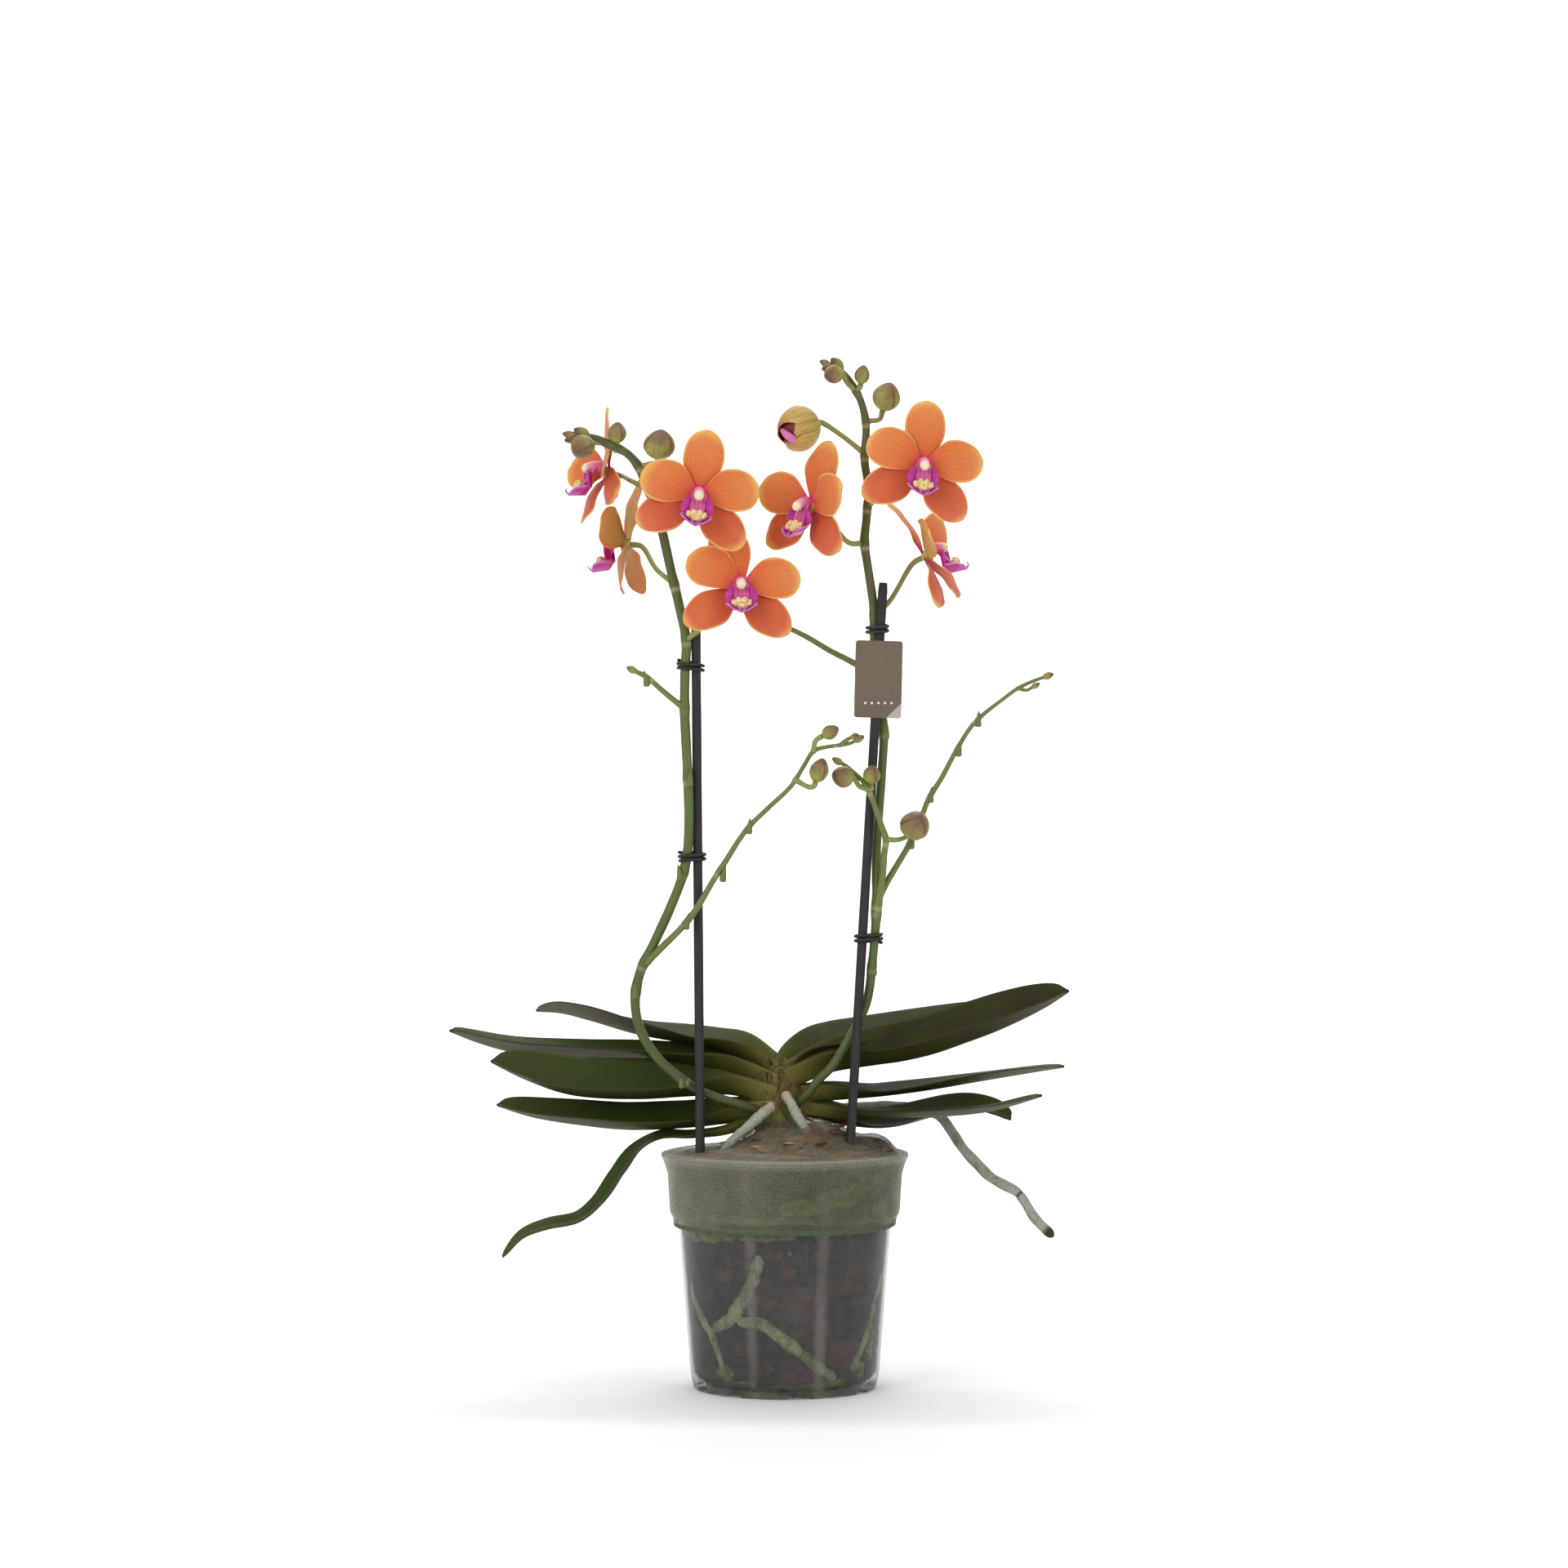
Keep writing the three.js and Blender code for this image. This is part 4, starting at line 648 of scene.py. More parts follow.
def bark_skin():
    """Grey-brown to rust chips by their own number, with fibres, painted shade in the gaps between chips,
    pale dust, and green where the moss is. A noise is added to the moss, so that its edge is ragged."""
    f = Finish("damp bark", Specular_IOR_Level=0.3)
    chips = f.ramp(
        f.fact("chip"), (0, 40, 34, 37), (0.15, 58, 52, 55), (0.3, 48, 42, 45),
        (0.44, 84, 56, 46), (0.58, 60, 52, 52), (0.72, 122, 78, 54),
        (0.86, 106, 84, 62), (1, 206, 182, 140),
    )
    fibres = f.noise(420, f.stretched(1, 1, 3), detail=4)
    colour = f.mix(f.between(fibres, 0.4, 0.7, 0, 0.6), chips, (28, 22, 22))
    rust = f.between(f.noise(70, detail=4), 0.58, 0.72, 0, 0.5)
    colour = f.mix(rust, colour, (104, 58, 44))
    dust = f.between(f.noise(1100, detail=1), 0.7, 0.76)
    colour = f.mix(f.times(dust, 0.6), colour, (168, 158, 146))
    # painted shade: near-black in the sunken gaps where two chips meet
    colour = f.mix(f.times(f.fact("border"), 0.6), colour, (20, 15, 15))
    ragged = f.plus(f.fact("moss"), f.times(f.noise(150, detail=4), 0.9))
    green = f.mix(f.between(f.noise(220, detail=4), 0.35, 0.65), (120, 140, 66), (62, 84, 36))
    colour = f.mix(f.between(ragged, 0.84, 0.98, 0, 0.95), colour, green)
    f.relief(f.plus(fibres, f.fact("border")), 0.8)
    return f.done(colour, fibres, 0.6, 0.9)


BARK = bark_skin()
shade = chance.random(CHIPS)[chip].reshape(z.shape) * 0.6
shade = np.where(on_wall > 0.5, shade, 0.42 + 0.97 * shade)
bark_shell = loft(skin, (0, 0, BARK_FLOOR), (0, 0, RIM_HEIGHT + 12), chip=shade, border=border, moss=moss)


# %% Loose chips on the heap
def loose_chips(count):
    """Flat pebbles of bark: 6 by 5 points of an ellipsoid whose radii are drawn from the seeded chances,
    tipped and set on the heap, within 47 mm of its middle."""
    lat = np.radians([60, 28, 0, -28, -60])[None, :, None]
    lon = even_turns(6)[None, None, :]
    rough = chance.normal(1, 0.13, (count, 5, 6))
    ball = [np.cos(lat) * np.cos(lon), np.cos(lat) * np.sin(lon), np.sin(lat) * np.ones(6)]
    poles = np.array([[0, 0, 0.95], [0, 0, -0.95]])
    size = np.stack([chance.uniform(low, high, count) for low, high in ((4, 9), (2.5, 5.5), (0.8, 1.4))], 1)
    spin = chance.uniform(0, 2 * np.pi, count)
    tip = np.clip(chance.normal(0, 0.12, (count, 2)), -0.2, 0.2)
    r, a = 47 * np.sqrt(chance.uniform(0.07, 1, count)), chance.uniform(0, 2 * np.pi, count)
    cx, cy = r * np.cos(a), r * np.sin(a)
    cz = RIM_HEIGHT - 0.8 + mound(cx, cy)
    rings = (np.stack(ball, axis=-1) * rough[..., None]).reshape(count, 30, 3)
    points = np.concatenate([rings, np.broadcast_to(poles, (count, 2, 3))], axis=1) * size[:, None]
    px = points[..., 0] * np.cos(spin)[:, None] - points[..., 1] * np.sin(spin)[:, None]
    py = points[..., 0] * np.sin(spin)[:, None] + points[..., 1] * np.cos(spin)[:, None]
    pz = points[..., 2] + px * tip[:, :1] + py * tip[:, 1:]
    placed = np.stack([px + cx[:, None], py + cy[:, None], pz + cz[:, None]], axis=-1)
    k, following = np.arange(6), (np.arange(6) + 1) % 6
    top, bottom = [np.full(6, 30), k, following], [np.full(6, 31), 24 + following, 24 + k]
    fans = np.vstack([np.stack(top, 1), np.stack(bottom, 1)])
    starts = 32 * np.arange(count)[:, None, None]
    quads = (grid_faces(5, 6, True) + starts).reshape(-1, 4)
    tris = (fans + starts).reshape(-1, 3)
    shade = np.repeat(0.4 + 0.6 * chance.random(count), 32)
    return shell(placed.reshape(-1, 3), quads, tris, chip=shade, border=0 * shade, moss=0 * shade)


bark = piece("bark.fill", [bark_shell, loose_chips(LOOSE_CHIPS)], [BARK], "bark")
print("bark faces:", len(bark.data.polygons), "in", CHIPS, "chips and", LOOSE_CHIPS, "loose ones")

# %% [markdown]
# ## The net sleeve
#
# A round piece of fine knitted net is stretched over the bark and the pot's collar, and a rolled elastic
# hem holds it below the step. Modelled threads would need millions of faces, so the net is one sheet with
# its holes in the alpha: rows of small upright ovals, every second row shifted by half a pitch. It
# follows the CAD's profile, sinks and rises with the bark, and gathers in pleats round the neck.

# %% Net sheet
NET_SIDES, NET_ROWS, NET_SIDE_ROWS = 240, 84, 36
NET_PITCH, NET_GIRTH_RADIUS = 1.25, 56
NET_TOP = RIM_HEIGHT + 1
NECK = np.array([-2.0, 0.0])
NECK_REACH = np.array([10.9, 8.7])
PLEATS, PLEAT_HEIGHT, NECK_RISE = 23, 0.7, 2.2


def net_height(x, y):
    """The heap, the thickness of the loose chips on it, and their bumps under the cloth."""
    lumps = 0.35 * np.sin(0.55 * x + 0.3 * y) * np.cos(0.47 * y - 0.25 * x)
    lumps = lumps + 0.2 * np.sin(1.1 * x - 0.7 * y + 1)
    return mound(x, y) + (1.1 + 0.5 * lumps) * over_bark(x, y)


side_profile = softened(
    [
        (54.3, 80.6), (54.9, 83.2), (56.3, 86.2), (57.4, RIM_HEIGHT - 9.5),
        (RIM_RADIUS - 0.3, RIM_HEIGHT - 4.5), (RIM_RADIUS + 1.7, RIM_HEIGHT + 0.3),
        (RIM_RADIUS - 0.9, NET_TOP),
    ],
    0.7,
)
gone = np.concatenate([[0], np.cumsum(np.linalg.norm(np.diff(side_profile, axis=0), axis=1))])
steps = np.linspace(0, gone[-1], NET_SIDE_ROWS)
side_r, side_z = (np.interp(steps, gone, side_profile[:, k]) for k in (0, 1))
turn = 2 * np.pi * np.arange(NET_SIDES + 1) / NET_SIDES
around = np.stack([np.cos(turn), np.sin(turn)], axis=-1)
side_xy = side_r[:, None, None] * around
share = np.linspace(0, 1, NET_ROWS - NET_SIDE_ROWS + 1)[1:, None, None]
top_xy = (1 - share) * side_xy[-1] + share * (NECK + NECK_REACH * around)
net_xy = np.concatenate([side_xy, top_xy])
share = share[..., 0]
pleats = PLEAT_HEIGHT * np.sin(PLEATS * turn) * smooth((share - 0.55) / 0.45)
top_z = NET_TOP + net_height(top_xy[..., 0], top_xy[..., 1]) + pleats
top_z = top_z + NECK_RISE * smooth((share - 0.86) / 0.14)
net_z = np.concatenate([side_z[:, None] * np.ones(NET_SIDES + 1), top_z])
net_points = np.dstack([net_xy, net_z])
down = np.linalg.norm(np.diff(net_points, axis=0), axis=2).mean(axis=1)
down = np.concatenate([[0], np.cumsum(down)])


# %% Knitted net
def knitted_net():
    """Threads of grey-green yarn round upright oval holes. u counts wales and v counts rows: a hole is
    where the two distances from a cell's middle, squared and added, are small. The yarn is paler at the rim
    and on the lit left side, and stained green and brown where damp bark is under it. Holes close up where
    the cloth is seen edge-on, and in the folds that lift off the bark beside the rim."""
    f = Finish("knitted net", Specular_IOR_Level=0.2, Sheen_Weight=0.25)
    wale, row = f.node("SeparateXYZ", {0: f.node("UVMap", uv_map="net").outputs[0]}).outputs[:2]
    axes = f.axes()
    odd = f.times(f.maths("FLOOR", row), 0.5)
    across = f.minus(f.maths("FRACT", f.plus(wale, odd)), 0.5)
    down = f.minus(f.maths("FRACT", row), 0.5)
    away = f.plus(f.maths("POWER", across, 2.0), f.times(f.maths("POWER", down, 2.0), 0.55))
    thread = f.between(away, 0.05, 0.13)
    worn = f.noise(60, detail=3)
    colour = f.mix(f.between(worn, 0.3, 0.7), (98, 108, 76), (128, 130, 102))
    lit = f.between(axes[0], 0.01, -0.052, 0, 0.42)
    colour = f.mix(lit, colour, (186, 180, 156))
    stain = f.mix(f.between(f.noise(95, detail=5), 0.42, 0.58), (84, 92, 66), (152, 118, 84))
    colour = f.mix(f.times(f.fact("heap"), 0.7), colour, stain)
    colour = f.mix(f.times(f.fact("rim"), 0.8), colour, (186, 184, 166))
    solid = f.between(worn, 0.3, 0.7, 0.56, 0.68)
    solid = f.minus(solid, f.times(f.fact("heap"), 0.14))
    solid = f.plus(solid, f.times(f.fact("rim"), 0.2), clamp=True)
    lifted = f.between(axes[2], NET_TOP / 1000, (NET_TOP + 3) / 1000)
    fold = f.times(lifted, f.between(f.fact("heap"), 0.1, 0.95, 0.45, 0.1))
    solid = f.plus(solid, fold, clamp=True)
    alpha = f.node("MapRange", {"Value": thread, "To Min": 0.06, "To Max": solid}).outputs[0]
    alpha = f.plus(alpha, f.times(fold, 0.5), clamp=True)
    alpha = f.plus(alpha, f.times(f.edge_on(3.0), 0.5), clamp=True)
    f.feed(f.shader.inputs["Alpha"], alpha)
    f.relief(thread, 0.25)
    return f.done(colour, worn, 0.7, 0.9)


NET = knitted_net()


def net_sheet():
    """The open grid as one sheet of cloth, with a UV map whose unit is one hole."""
    points, quads = net_points.reshape(-1, 3), grid_faces(NET_ROWS, NET_SIDES + 1)
    wales = round(2 * np.pi * NET_GIRTH_RADIUS / NET_PITCH)
    u = np.tile(np.linspace(0, wales, NET_SIDES + 1), NET_ROWS)
    v = np.repeat(down / (NET_PITCH * 0.95), NET_SIDES + 1)
    off = np.hypot(points[:, 2] - RIM_HEIGHT, np.hypot(points[:, 0], points[:, 1]) - RIM_RADIUS)
    facts = dict(rim=bump(off, 2.2), heap=over_bark(points[:, 0], points[:, 1]))
    mesh = mesh_of("net_sleeve.cloth", points, quads.tolist(), facts, [NET])
    layer = mesh.uv_layers.new(name="net")
    layer.data.foreach_set("uv", np.stack([u, v], 1)[quads.ravel()].astype(np.float32).ravel())
    mesh.update()
    made = shown("net_sleeve.cloth", mesh)
    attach(made, "root")
    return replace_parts(made, "net_sleeve")


net = net_sheet()


# %% Rolled hem
def hem_yarn():
    """The same yarn, rolled tight and darker, with the slant of its twist."""
    f = Finish("rolled hem", Specular_IOR_Level=0.2)
    twist = f.noise(700, f.stretched(1, 1, 0.5), detail=3)
    f.relief(twist, 0.4)
    return f.done(f.mix(twist, (58, 70, 54), (98, 108, 88)), twist, 0.75, 0.95)


HEM_RADIUS, HEM_HEIGHT, HEM_COLUMNS = 53.6, 80.6, 10
a, b = even_turns(NET_SIDES), even_turns(HEM_COLUMNS)[:, None]
hem_r = HEM_RADIUS + 0.95 * np.cos(b) + 0.1 * np.sin(37 * a)
hem_z = HEM_HEIGHT + 1.4 * np.sin(b) + 0.3 * np.sin(3 * a + 1)
hem_rings = np.stack([hem_r * np.cos(a), hem_r * np.sin(a), hem_z * np.ones(NET_SIDES)], axis=-1)
first, last = np.arange(NET_SIDES), (HEM_COLUMNS - 1) * NET_SIDES + np.arange(NET_SIDES)
closing = np.stack([last, np.roll(last, -1), np.roll(first, -1), first], 1)
cells = np.vstack([grid_faces(HEM_COLUMNS, NET_SIDES, True), closing])
hem = piece("net_sleeve.hem", [shell(hem_rings.reshape(-1, 3), cells)], [hem_yarn()], "net_sleeve")

# %% [markdown]
# ## The leaves
#
# Ten strap leaves leave the stem in two ranks. Each is folded and clasping at its base, then opens into a
# shallow channel and ends in a short point. A leaf is a surface of two parameters: s runs along the keel
# and v across it. The skin carries s, v and which side it is, so one finish can pass from the yellow-green
# base to a dark blade with a maroon flush, with fine veins along it and a paler underside.

# %% Leaf paths
LEAVES = table("half fold roll flush pale keel", [
    ("leaf_left_1", 18, 27, (8, -12), 0.55, 0.7, [
        (-7, 6, 153), (-24, 15, 162), (-48, 28, 166.5), (-74, 39, 170.5), (-98, 48, 176.8),
        (-113, 53, 180.3), (-125, 56, 181),
    ]),
    ("leaf_left_2", 19, 28, (4, 4), 0.55, 0.8, [
        (-8, 2, 146), (-26, 9, 153), (-48, 16, 156.6), (-72, 20, 158.2), (-100, 20.5, 159.2),
        (-134, 18, 162.8), (-152, 15, 168), (-165, 12, 173.5),
    ]),
    ("leaf_left_3", 23, 40, (14, 28), 0.3, 0.2, [
        (-9, -1, 139), (-26, 2, 143.5), (-46, 1, 143), (-72, -5, 142), (-104, -10.5, 144.6),
        (-125, -11, 151.6), (-143, -10.5, 160),
    ]),
    ("leaf_left_4", 19, 30, (10, 15), 0.15, 0.1, [
        (-9, -3, 132), (-26, -1, 130), (-48, -3, 127.8), (-76, -9, 127.2), (-100, -12, 129.8),
        (-122, -13, 133.5), (-140, -12, 138.8),
    ]),
    ("leaf_left_5", 7, 14, (0, 30), 0.1, 0.25, [
        (-9, -4, 130.5), (-19, -9, 128), (-30, -13, 125), (-46, -14, 123.6), (-60.5, -14, 123.2),
        (-71.3, -14, 117.4), (-80.5, -16, 105.6), (-89.5, -18, 92.7), (-99.8, -19, 84.2),
        (-115.6, -19, 80.8), (-127.5, -18, 76), (-137, -17, 65.5),
    ]),
    ("leaf_right_1", 23, 44, (14, 25), 0.9, 0.1, [
        (6, 1, 148), (22, 3, 154.3), (44, 3, 158), (57, 2, 159.8), (72, 0, 163.3), (88, -2, 169),
        (101, -4, 174), (115, -5, 180.3), (127, -6, 186.6), (138.5, -6, 194),
    ]),
    ("leaf_right_2", 19, 27, (14, 12), 0.8, 0.1, [
        (0, 3, 150), (6, 9, 156.5), (20, 18, 163.2), (44, 32, 167.3), (68, 39, 171.8), (92, 43, 177.2),
        (114, 44, 182.2),
    ]),
    ("leaf_right_3", 16, 16, (3, -2), 0.2, 0.3, [
        (8, 4, 139.5), (24, 8, 140.4), (48, 11, 142), (70, 13, 144.5), (90, 14, 147.8), (112, 14, 151.5),
        (137.5, 13, 155.8),
    ]),
    ("leaf_right_4", 16.5, 19, (10, 15), 0.45, 0.2, [
        (8, 3, 133.5), (24, 5, 129.5), (42, 8, 127), (51, 8.5, 127.2), (60, 9, 128.8), (70, 8.5, 131.6),
        (80, 7.5, 134.4), (90, 6, 135.8), (100, 4, 135), (107, 2, 132.8), (110.5, 1, 130.6),
    ]),
    ("leaf_right_5", 12, 17, (0, 0), 0.35, 0.55, [
        (8, -2, 134), (22, -3.5, 132.4), (38, -5.5, 131.6), (58, -11, 133), (80, -16, 134.2),
        (98, -19, 136.4), (112, -20, 140), (124.5, -20, 144),
    ]),
])


# %% Leaf surface
LEAF_ROWS, LEAF_COLUMNS = 72, 25
LEAF_INSIDE, CLASPING_FOLD = 4.5, 70


def leaf_outline(s):
    """Half width as a share: 0.64 at the clasping base, full from 0.36 on, and then it closes as a circle's
    arc does."""
    open_up = 0.64 + 0.36 * smooth(s / 0.36)
    close = np.sqrt(np.maximum(0, 1 - (np.maximum(s - 0.55, 0) / 0.45) ** 2.1))
    return np.maximum(0.02, open_up * close)


def leaf_blade(keel, half, fold, roll, flush, pale):
    """The point at s and v: the keel's place, plus half width x v x the cosine of the fold along the lean,
    plus half width x |v|, rounded at the keel, x the sine of the fold towards the upper side. The fold is
    70 degrees where the leaf clasps the stem and opens to its own angle at a third of the length. roll
    gives the lean at the base and at the tip. The edges wave a little, a groove follows the keel, the rows
    lie widest apart at the middle, and the blade starts 4.5 mm inside the stem."""
    t = np.linspace(0, 1, LEAF_ROWS)
    s = t - 0.03 * np.sin(np.pi * t) * np.sin(2 * np.pi * t)
    v = np.linspace(-1, 1, LEAF_COLUMNS)[None, :]
    first, second = np.array(keel[0], float), np.array(keel[1], float)
    middle, way, _ = follow([first + unit(first - second) * LEAF_INSIDE, *keel], s)
    side = unit(np.cross((0, 0, 1), way)) * (1 if keel[-1][0] < 0 else -1)
    up = np.cross(side, way)
    up = up * np.sign(up[:, 2:])
    lean = np.radians(roll[0] + (roll[1] - roll[0]) * smooth(s))[:, None]
    near = side * np.cos(lean) - up * np.sin(lean)
    face = up * np.cos(lean) + side * np.sin(lean)
    raised = np.radians(fold + (CLASPING_FOLD - fold) * (1 - smooth(s / 0.34)))[:, None]
    width = (half * leaf_outline(s))[:, None]
    bend = np.sqrt(v * v + 0.03) - np.sqrt(0.03)
    wave = 0.5 * np.sin(9 * s[:, None] + 2 * v) * v * v * smooth(s / 0.3)[:, None]
    surface = middle[:, None] + near[:, None] * (width * v * np.cos(raised))[..., None]
    surface = surface + face[:, None] * (width * bend * np.sin(raised) + wave)[..., None]
    body = (2.6 - 1.1 * smooth(s / 0.5))[:, None] * (1 - 0.72 * np.abs(v) ** 2.5)
    thick = body - 0.5 * bump(v, 0.07) * smooth((1 - s[:, None]) / 0.1)
    facts = dict(along=s[:, None], across=v, flush=flush, pale=pale)
    return blade(surface, np.maximum(thick, 0.5), (0, 0, 1), **facts)


# %% Leaf skin
def leaf_skin():
    """Waxy and dark: the base is yellow-green and the blade olive green, with a dark keel line and a brown
    edge. flush is how far soft drifts of maroon cover a leaf, and pale how grey its back is towards the
    tip. Veins are a sine across the blade."""
    f = Finish("leaf skin", Specular_IOR_Level=0.12)
    along, across, upper = f.fact("along"), f.fact("across"), f.fact("upper")
    top = f.ramp(
        along, (0, 132, 126, 62), (0.1, 98, 104, 44), (0.27, 60, 76, 26),
        (0.6, 56, 76, 30), (1, 74, 84, 42),
    )
    under = f.ramp(
        along, (0, 136, 124, 68), (0.09, 118, 114, 56), (0.19, 90, 92, 42),
        (0.34, 58, 66, 26), (0.75, 56, 64, 28), (1, 80, 82, 46),
    )
    grey = f.times(f.fact("pale"), f.between(along, 0.3, 0.75))
    under = f.mix(grey, under, (122, 116, 102))
    colour = f.mix(upper, under, top)
    drift = f.noise(22, f.stretched(0.5, 1, 1), detail=3)
    maroon = f.times(f.fact("flush"), f.between(drift, 0.36, 0.62, 0.45, 1.1))
    maroon = f.times(maroon, f.between(along, 0.05, 0.25, 0.3, 1))
    colour = f.mix(maroon, colour, (48, 36, 18))
    lines = f.wave(f.plus(f.times(across, 60.0), f.times(drift, 9.0)))
    lines = f.between(lines, -1, 1)
    colour = f.mix(f.times(lines, 0.06), colour, (92, 100, 54))
    edge = f.between(f.size_of(across), 0.965, 1.0, 0, 0.6)
    colour = f.mix(edge, colour, (58, 44, 28))
    keel = f.between(f.size_of(across), 0.0, 0.05, 0.45, 0)
    colour = f.mix(keel, colour, (24, 32, 14))
    cells = f.noise(1600, detail=2)
    f.relief(f.plus(f.times(lines, 0.35), f.times(cells, 0.5)), 0.12)
    return f.done(colour, cells, 0.48, 0.62)


LEAF = leaf_skin()
for name, shape in LEAVES.items():
    piece(f"{name}.blade", [leaf_blade(**shape)], [LEAF], name)
print(len(LEAVES), "leaves, the longest", round(follow(LEAVES["leaf_left_2"]["keel"], [0])[2]), "mm")

# %% [markdown]
# ## The stem
#
# Between the leaves a short stem is hidden by their clasping bases. Each base wraps almost all round it,
# and since the leaves stand left and right in turn, their edges cross in front like a braid. So the stem
# is a scalloped core, and round it goes one sheath for each leaf, the lowest outermost.


# %% Stem core
STEM_FOOT, STEM_TOP = 104.5, 156
STEM_SHOWN = 53  # its finish runs over this height, from the foot up


def stem_size(z):
    """The core's middle X and its radius at a height. It leans a little to the left."""
    heights = [STEM_FOOT, 107, 110, 116, 122, 127, 132, 137, 142, 146, 150, 153, STEM_TOP]
    radii = [4, 5.8, 6.8, 7.2, 7.4, 7.6, 7.6, 7.4, 6.9, 6.2, 5.4, 4.4, 3]
    return -2 - 1.6 * smooth((z - 114) / 36), np.interp(z, heights, radii)


def stem_core():
    """Rings of an ellipse: the radius follows the profile, and two slow waves of angle and height dent
    it."""
    z = np.linspace(STEM_FOOT, STEM_TOP, 60)[:, None]
    middle, r = stem_size(z)
    turn = even_turns(48)
    braid = np.sin(2 * turn + 0.42 * z) * 0.5 + 0.35 * np.sin(5 * turn - 0.3 * z)
    r = r + braid * smooth((z - 118) / 8)
    ring = [middle + 1.15 * r * np.cos(turn), 0.9 * r * np.sin(turn), z * np.ones(48)]
    facts = dict(along=(z - STEM_FOOT) / STEM_SHOWN, edge=0.0)
    return loft(np.stack(ring, axis=-1), (-2, 0, STEM_FOOT - 0.5), (-3.6, 0, STEM_TOP + 1.5), **facts)


# %% Sheaths
SHEATH_TURN, SHEATH_HEIGHT = 140, 16


def sheath(keel, layer, tone):
    """A leaf's clasping base, from v = -1 to 1, a turn of 140 degrees each way from the leaf's own side, so
    that it crosses in front. Its edge rises beside the keel as a bell of |v| and falls away in front. t
    runs from 16 mm below that edge up to it, and the sheath flares towards the keel. layer is its distance
    from the core, and tone how brown it is."""
    first, second = np.array(keel[0], float), np.array(keel[1], float)
    rank = np.arctan2(second[1] - first[1], second[0] - first[0])
    t, v = np.linspace(0, 1, 18)[:, None], np.linspace(-1, 1, 61)[None, :]
    edge = first[2] + 9 * bump(np.abs(v) - 0.38, 0.22)
    edge = edge - 11 * smooth((np.abs(v) - 0.35) / 0.75) + 0.4 * np.sin(9 * v)
    z = edge - (1 - t) * SHEATH_HEIGHT
    middle, r = stem_size(z)
    r = r + layer + (0.9 + 3.4 * bump(v, 0.42)) * t * t
    turn = rank + np.radians(SHEATH_TURN) * v
    grid = np.stack([middle + 1.08 * r * np.cos(turn), r * np.sin(turn), z], axis=-1)
    along = np.clip((z - STEM_FOOT) / STEM_SHOWN, 0, 1)
    facts = dict(along=along, edge=t**4, tone=tone)
    return blade(grid, 1.1 - 0.6 * t**2, (np.cos(rank), np.sin(rank), 0), **facts)


# %% Stem skin
def stem_skin():
    """Dry pink-brown sheaths below, fresh yellow-green above in patches of olive and brown, darker at each
    edge, with fibres up and down."""
    f = Finish("stem skin", Specular_IOR_Level=0.25)
    fibres = f.noise(500, f.stretched(1, 1, 0.12), detail=3)
    patch = f.noise(95, f.stretched(1, 1, 0.8), detail=3)
    colour = f.ramp(
        f.fact("along"), (0, 96, 72, 52), (0.34, 126, 100, 74), (0.46, 124, 112, 58),
        (0.7, 126, 126, 58), (0.86, 112, 108, 54), (1, 104, 82, 56),
    )
    colour = f.mix(f.between(patch, 0.44, 0.6, 0, 0.8), colour, (80, 94, 38))
    colour = f.mix(f.between(patch, 0.5, 0.36, 0, 0.6), colour, (96, 74, 50))
    colour = f.mix(f.times(f.fact("tone"), 0.35), colour, (104, 84, 54))
    colour = f.mix(f.between(fibres, 0.45, 0.7, 0, 0.4), colour, (66, 56, 32))
    colour = f.mix(f.times(f.fact("edge"), 0.4), colour, (84, 70, 36))
    f.relief(fibres, 0.4)
    return f.done(colour, fibres, 0.42, 0.62)


lowest_first = sorted(LEAVES.values(), key=lambda leaf: leaf["keel"][0][2])
sheaths = [sheath(leaf["keel"], 2.2 - 0.2 * k, leaf["flush"]) for k, leaf in enumerate(lowest_first)]
piece("stem.crown", [stem_core(), *sheaths], [stem_skin()], "stem")
print("stem", STEM_TOP - STEM_FOOT + 2, "mm tall with", len(sheaths), "sheaths")

# %% [markdown]
# ## The roots
#
# A moth orchid's root is a firm green cord in a spongy silver skin, which turns green where it is wet. It
# is never quite round or straight, so its radius carries slow swellings and a few knuckles. Roots in the
# pot are flattened a little against the wall and are greener than those in the air.

# %% Root paths
ROOTS = table("radius path", [
    ("root_front_left", (2.7, 1.9), [
        (-6.5, -9.5, 137.6), (-11, -14, 134.6), (-17, -17.5, 129.4), (-23.5, -19, 124), (-29, -17, 117.5),
        (-33, -10, 106),
    ]),
    ("root_front_right", (2.5, 2.1), [
        (0.5, -10, 143), (3, -14, 139.5), (6, -16.5, 134), (9.5, -17.5, 128), (12, -17, 118),
        (14, -16, 106),
    ]),
    ("root_in_air", (2.9, 2.5), [
        (1, 4, 133), (8, 12, 134), (20, 22, 133.5), (42, 34, 134), (62, 36, 133.5), (76.5, 32, 130),
        (83.5, 29, 121.5), (88.5, 27, 114), (96.5, 25, 105.5), (101.5, 24, 100.5), (108.5, 22, 96.5),
        (115, 21, 93), (118.5, 20, 88.5), (123.5, 18, 80.5), (130, 16, 74),
    ]),
])


def knuckled(seed, size):
    """A wobble of a root's radius: four sines of its share and turn, set by a seed."""
    a, b, c = np.random.default_rng(seed).uniform(0, 6, 3)

    def squeeze(share, turn):
        slow = np.sin(17 * share + a) + 0.8 * np.sin(53 * share + b + np.sin(turn))
        return 1 + size * (slow + 0.6 * np.sin(97 * share + c) + 0.5 * np.sin(2 * turn + 9 * share + c))

    return squeeze


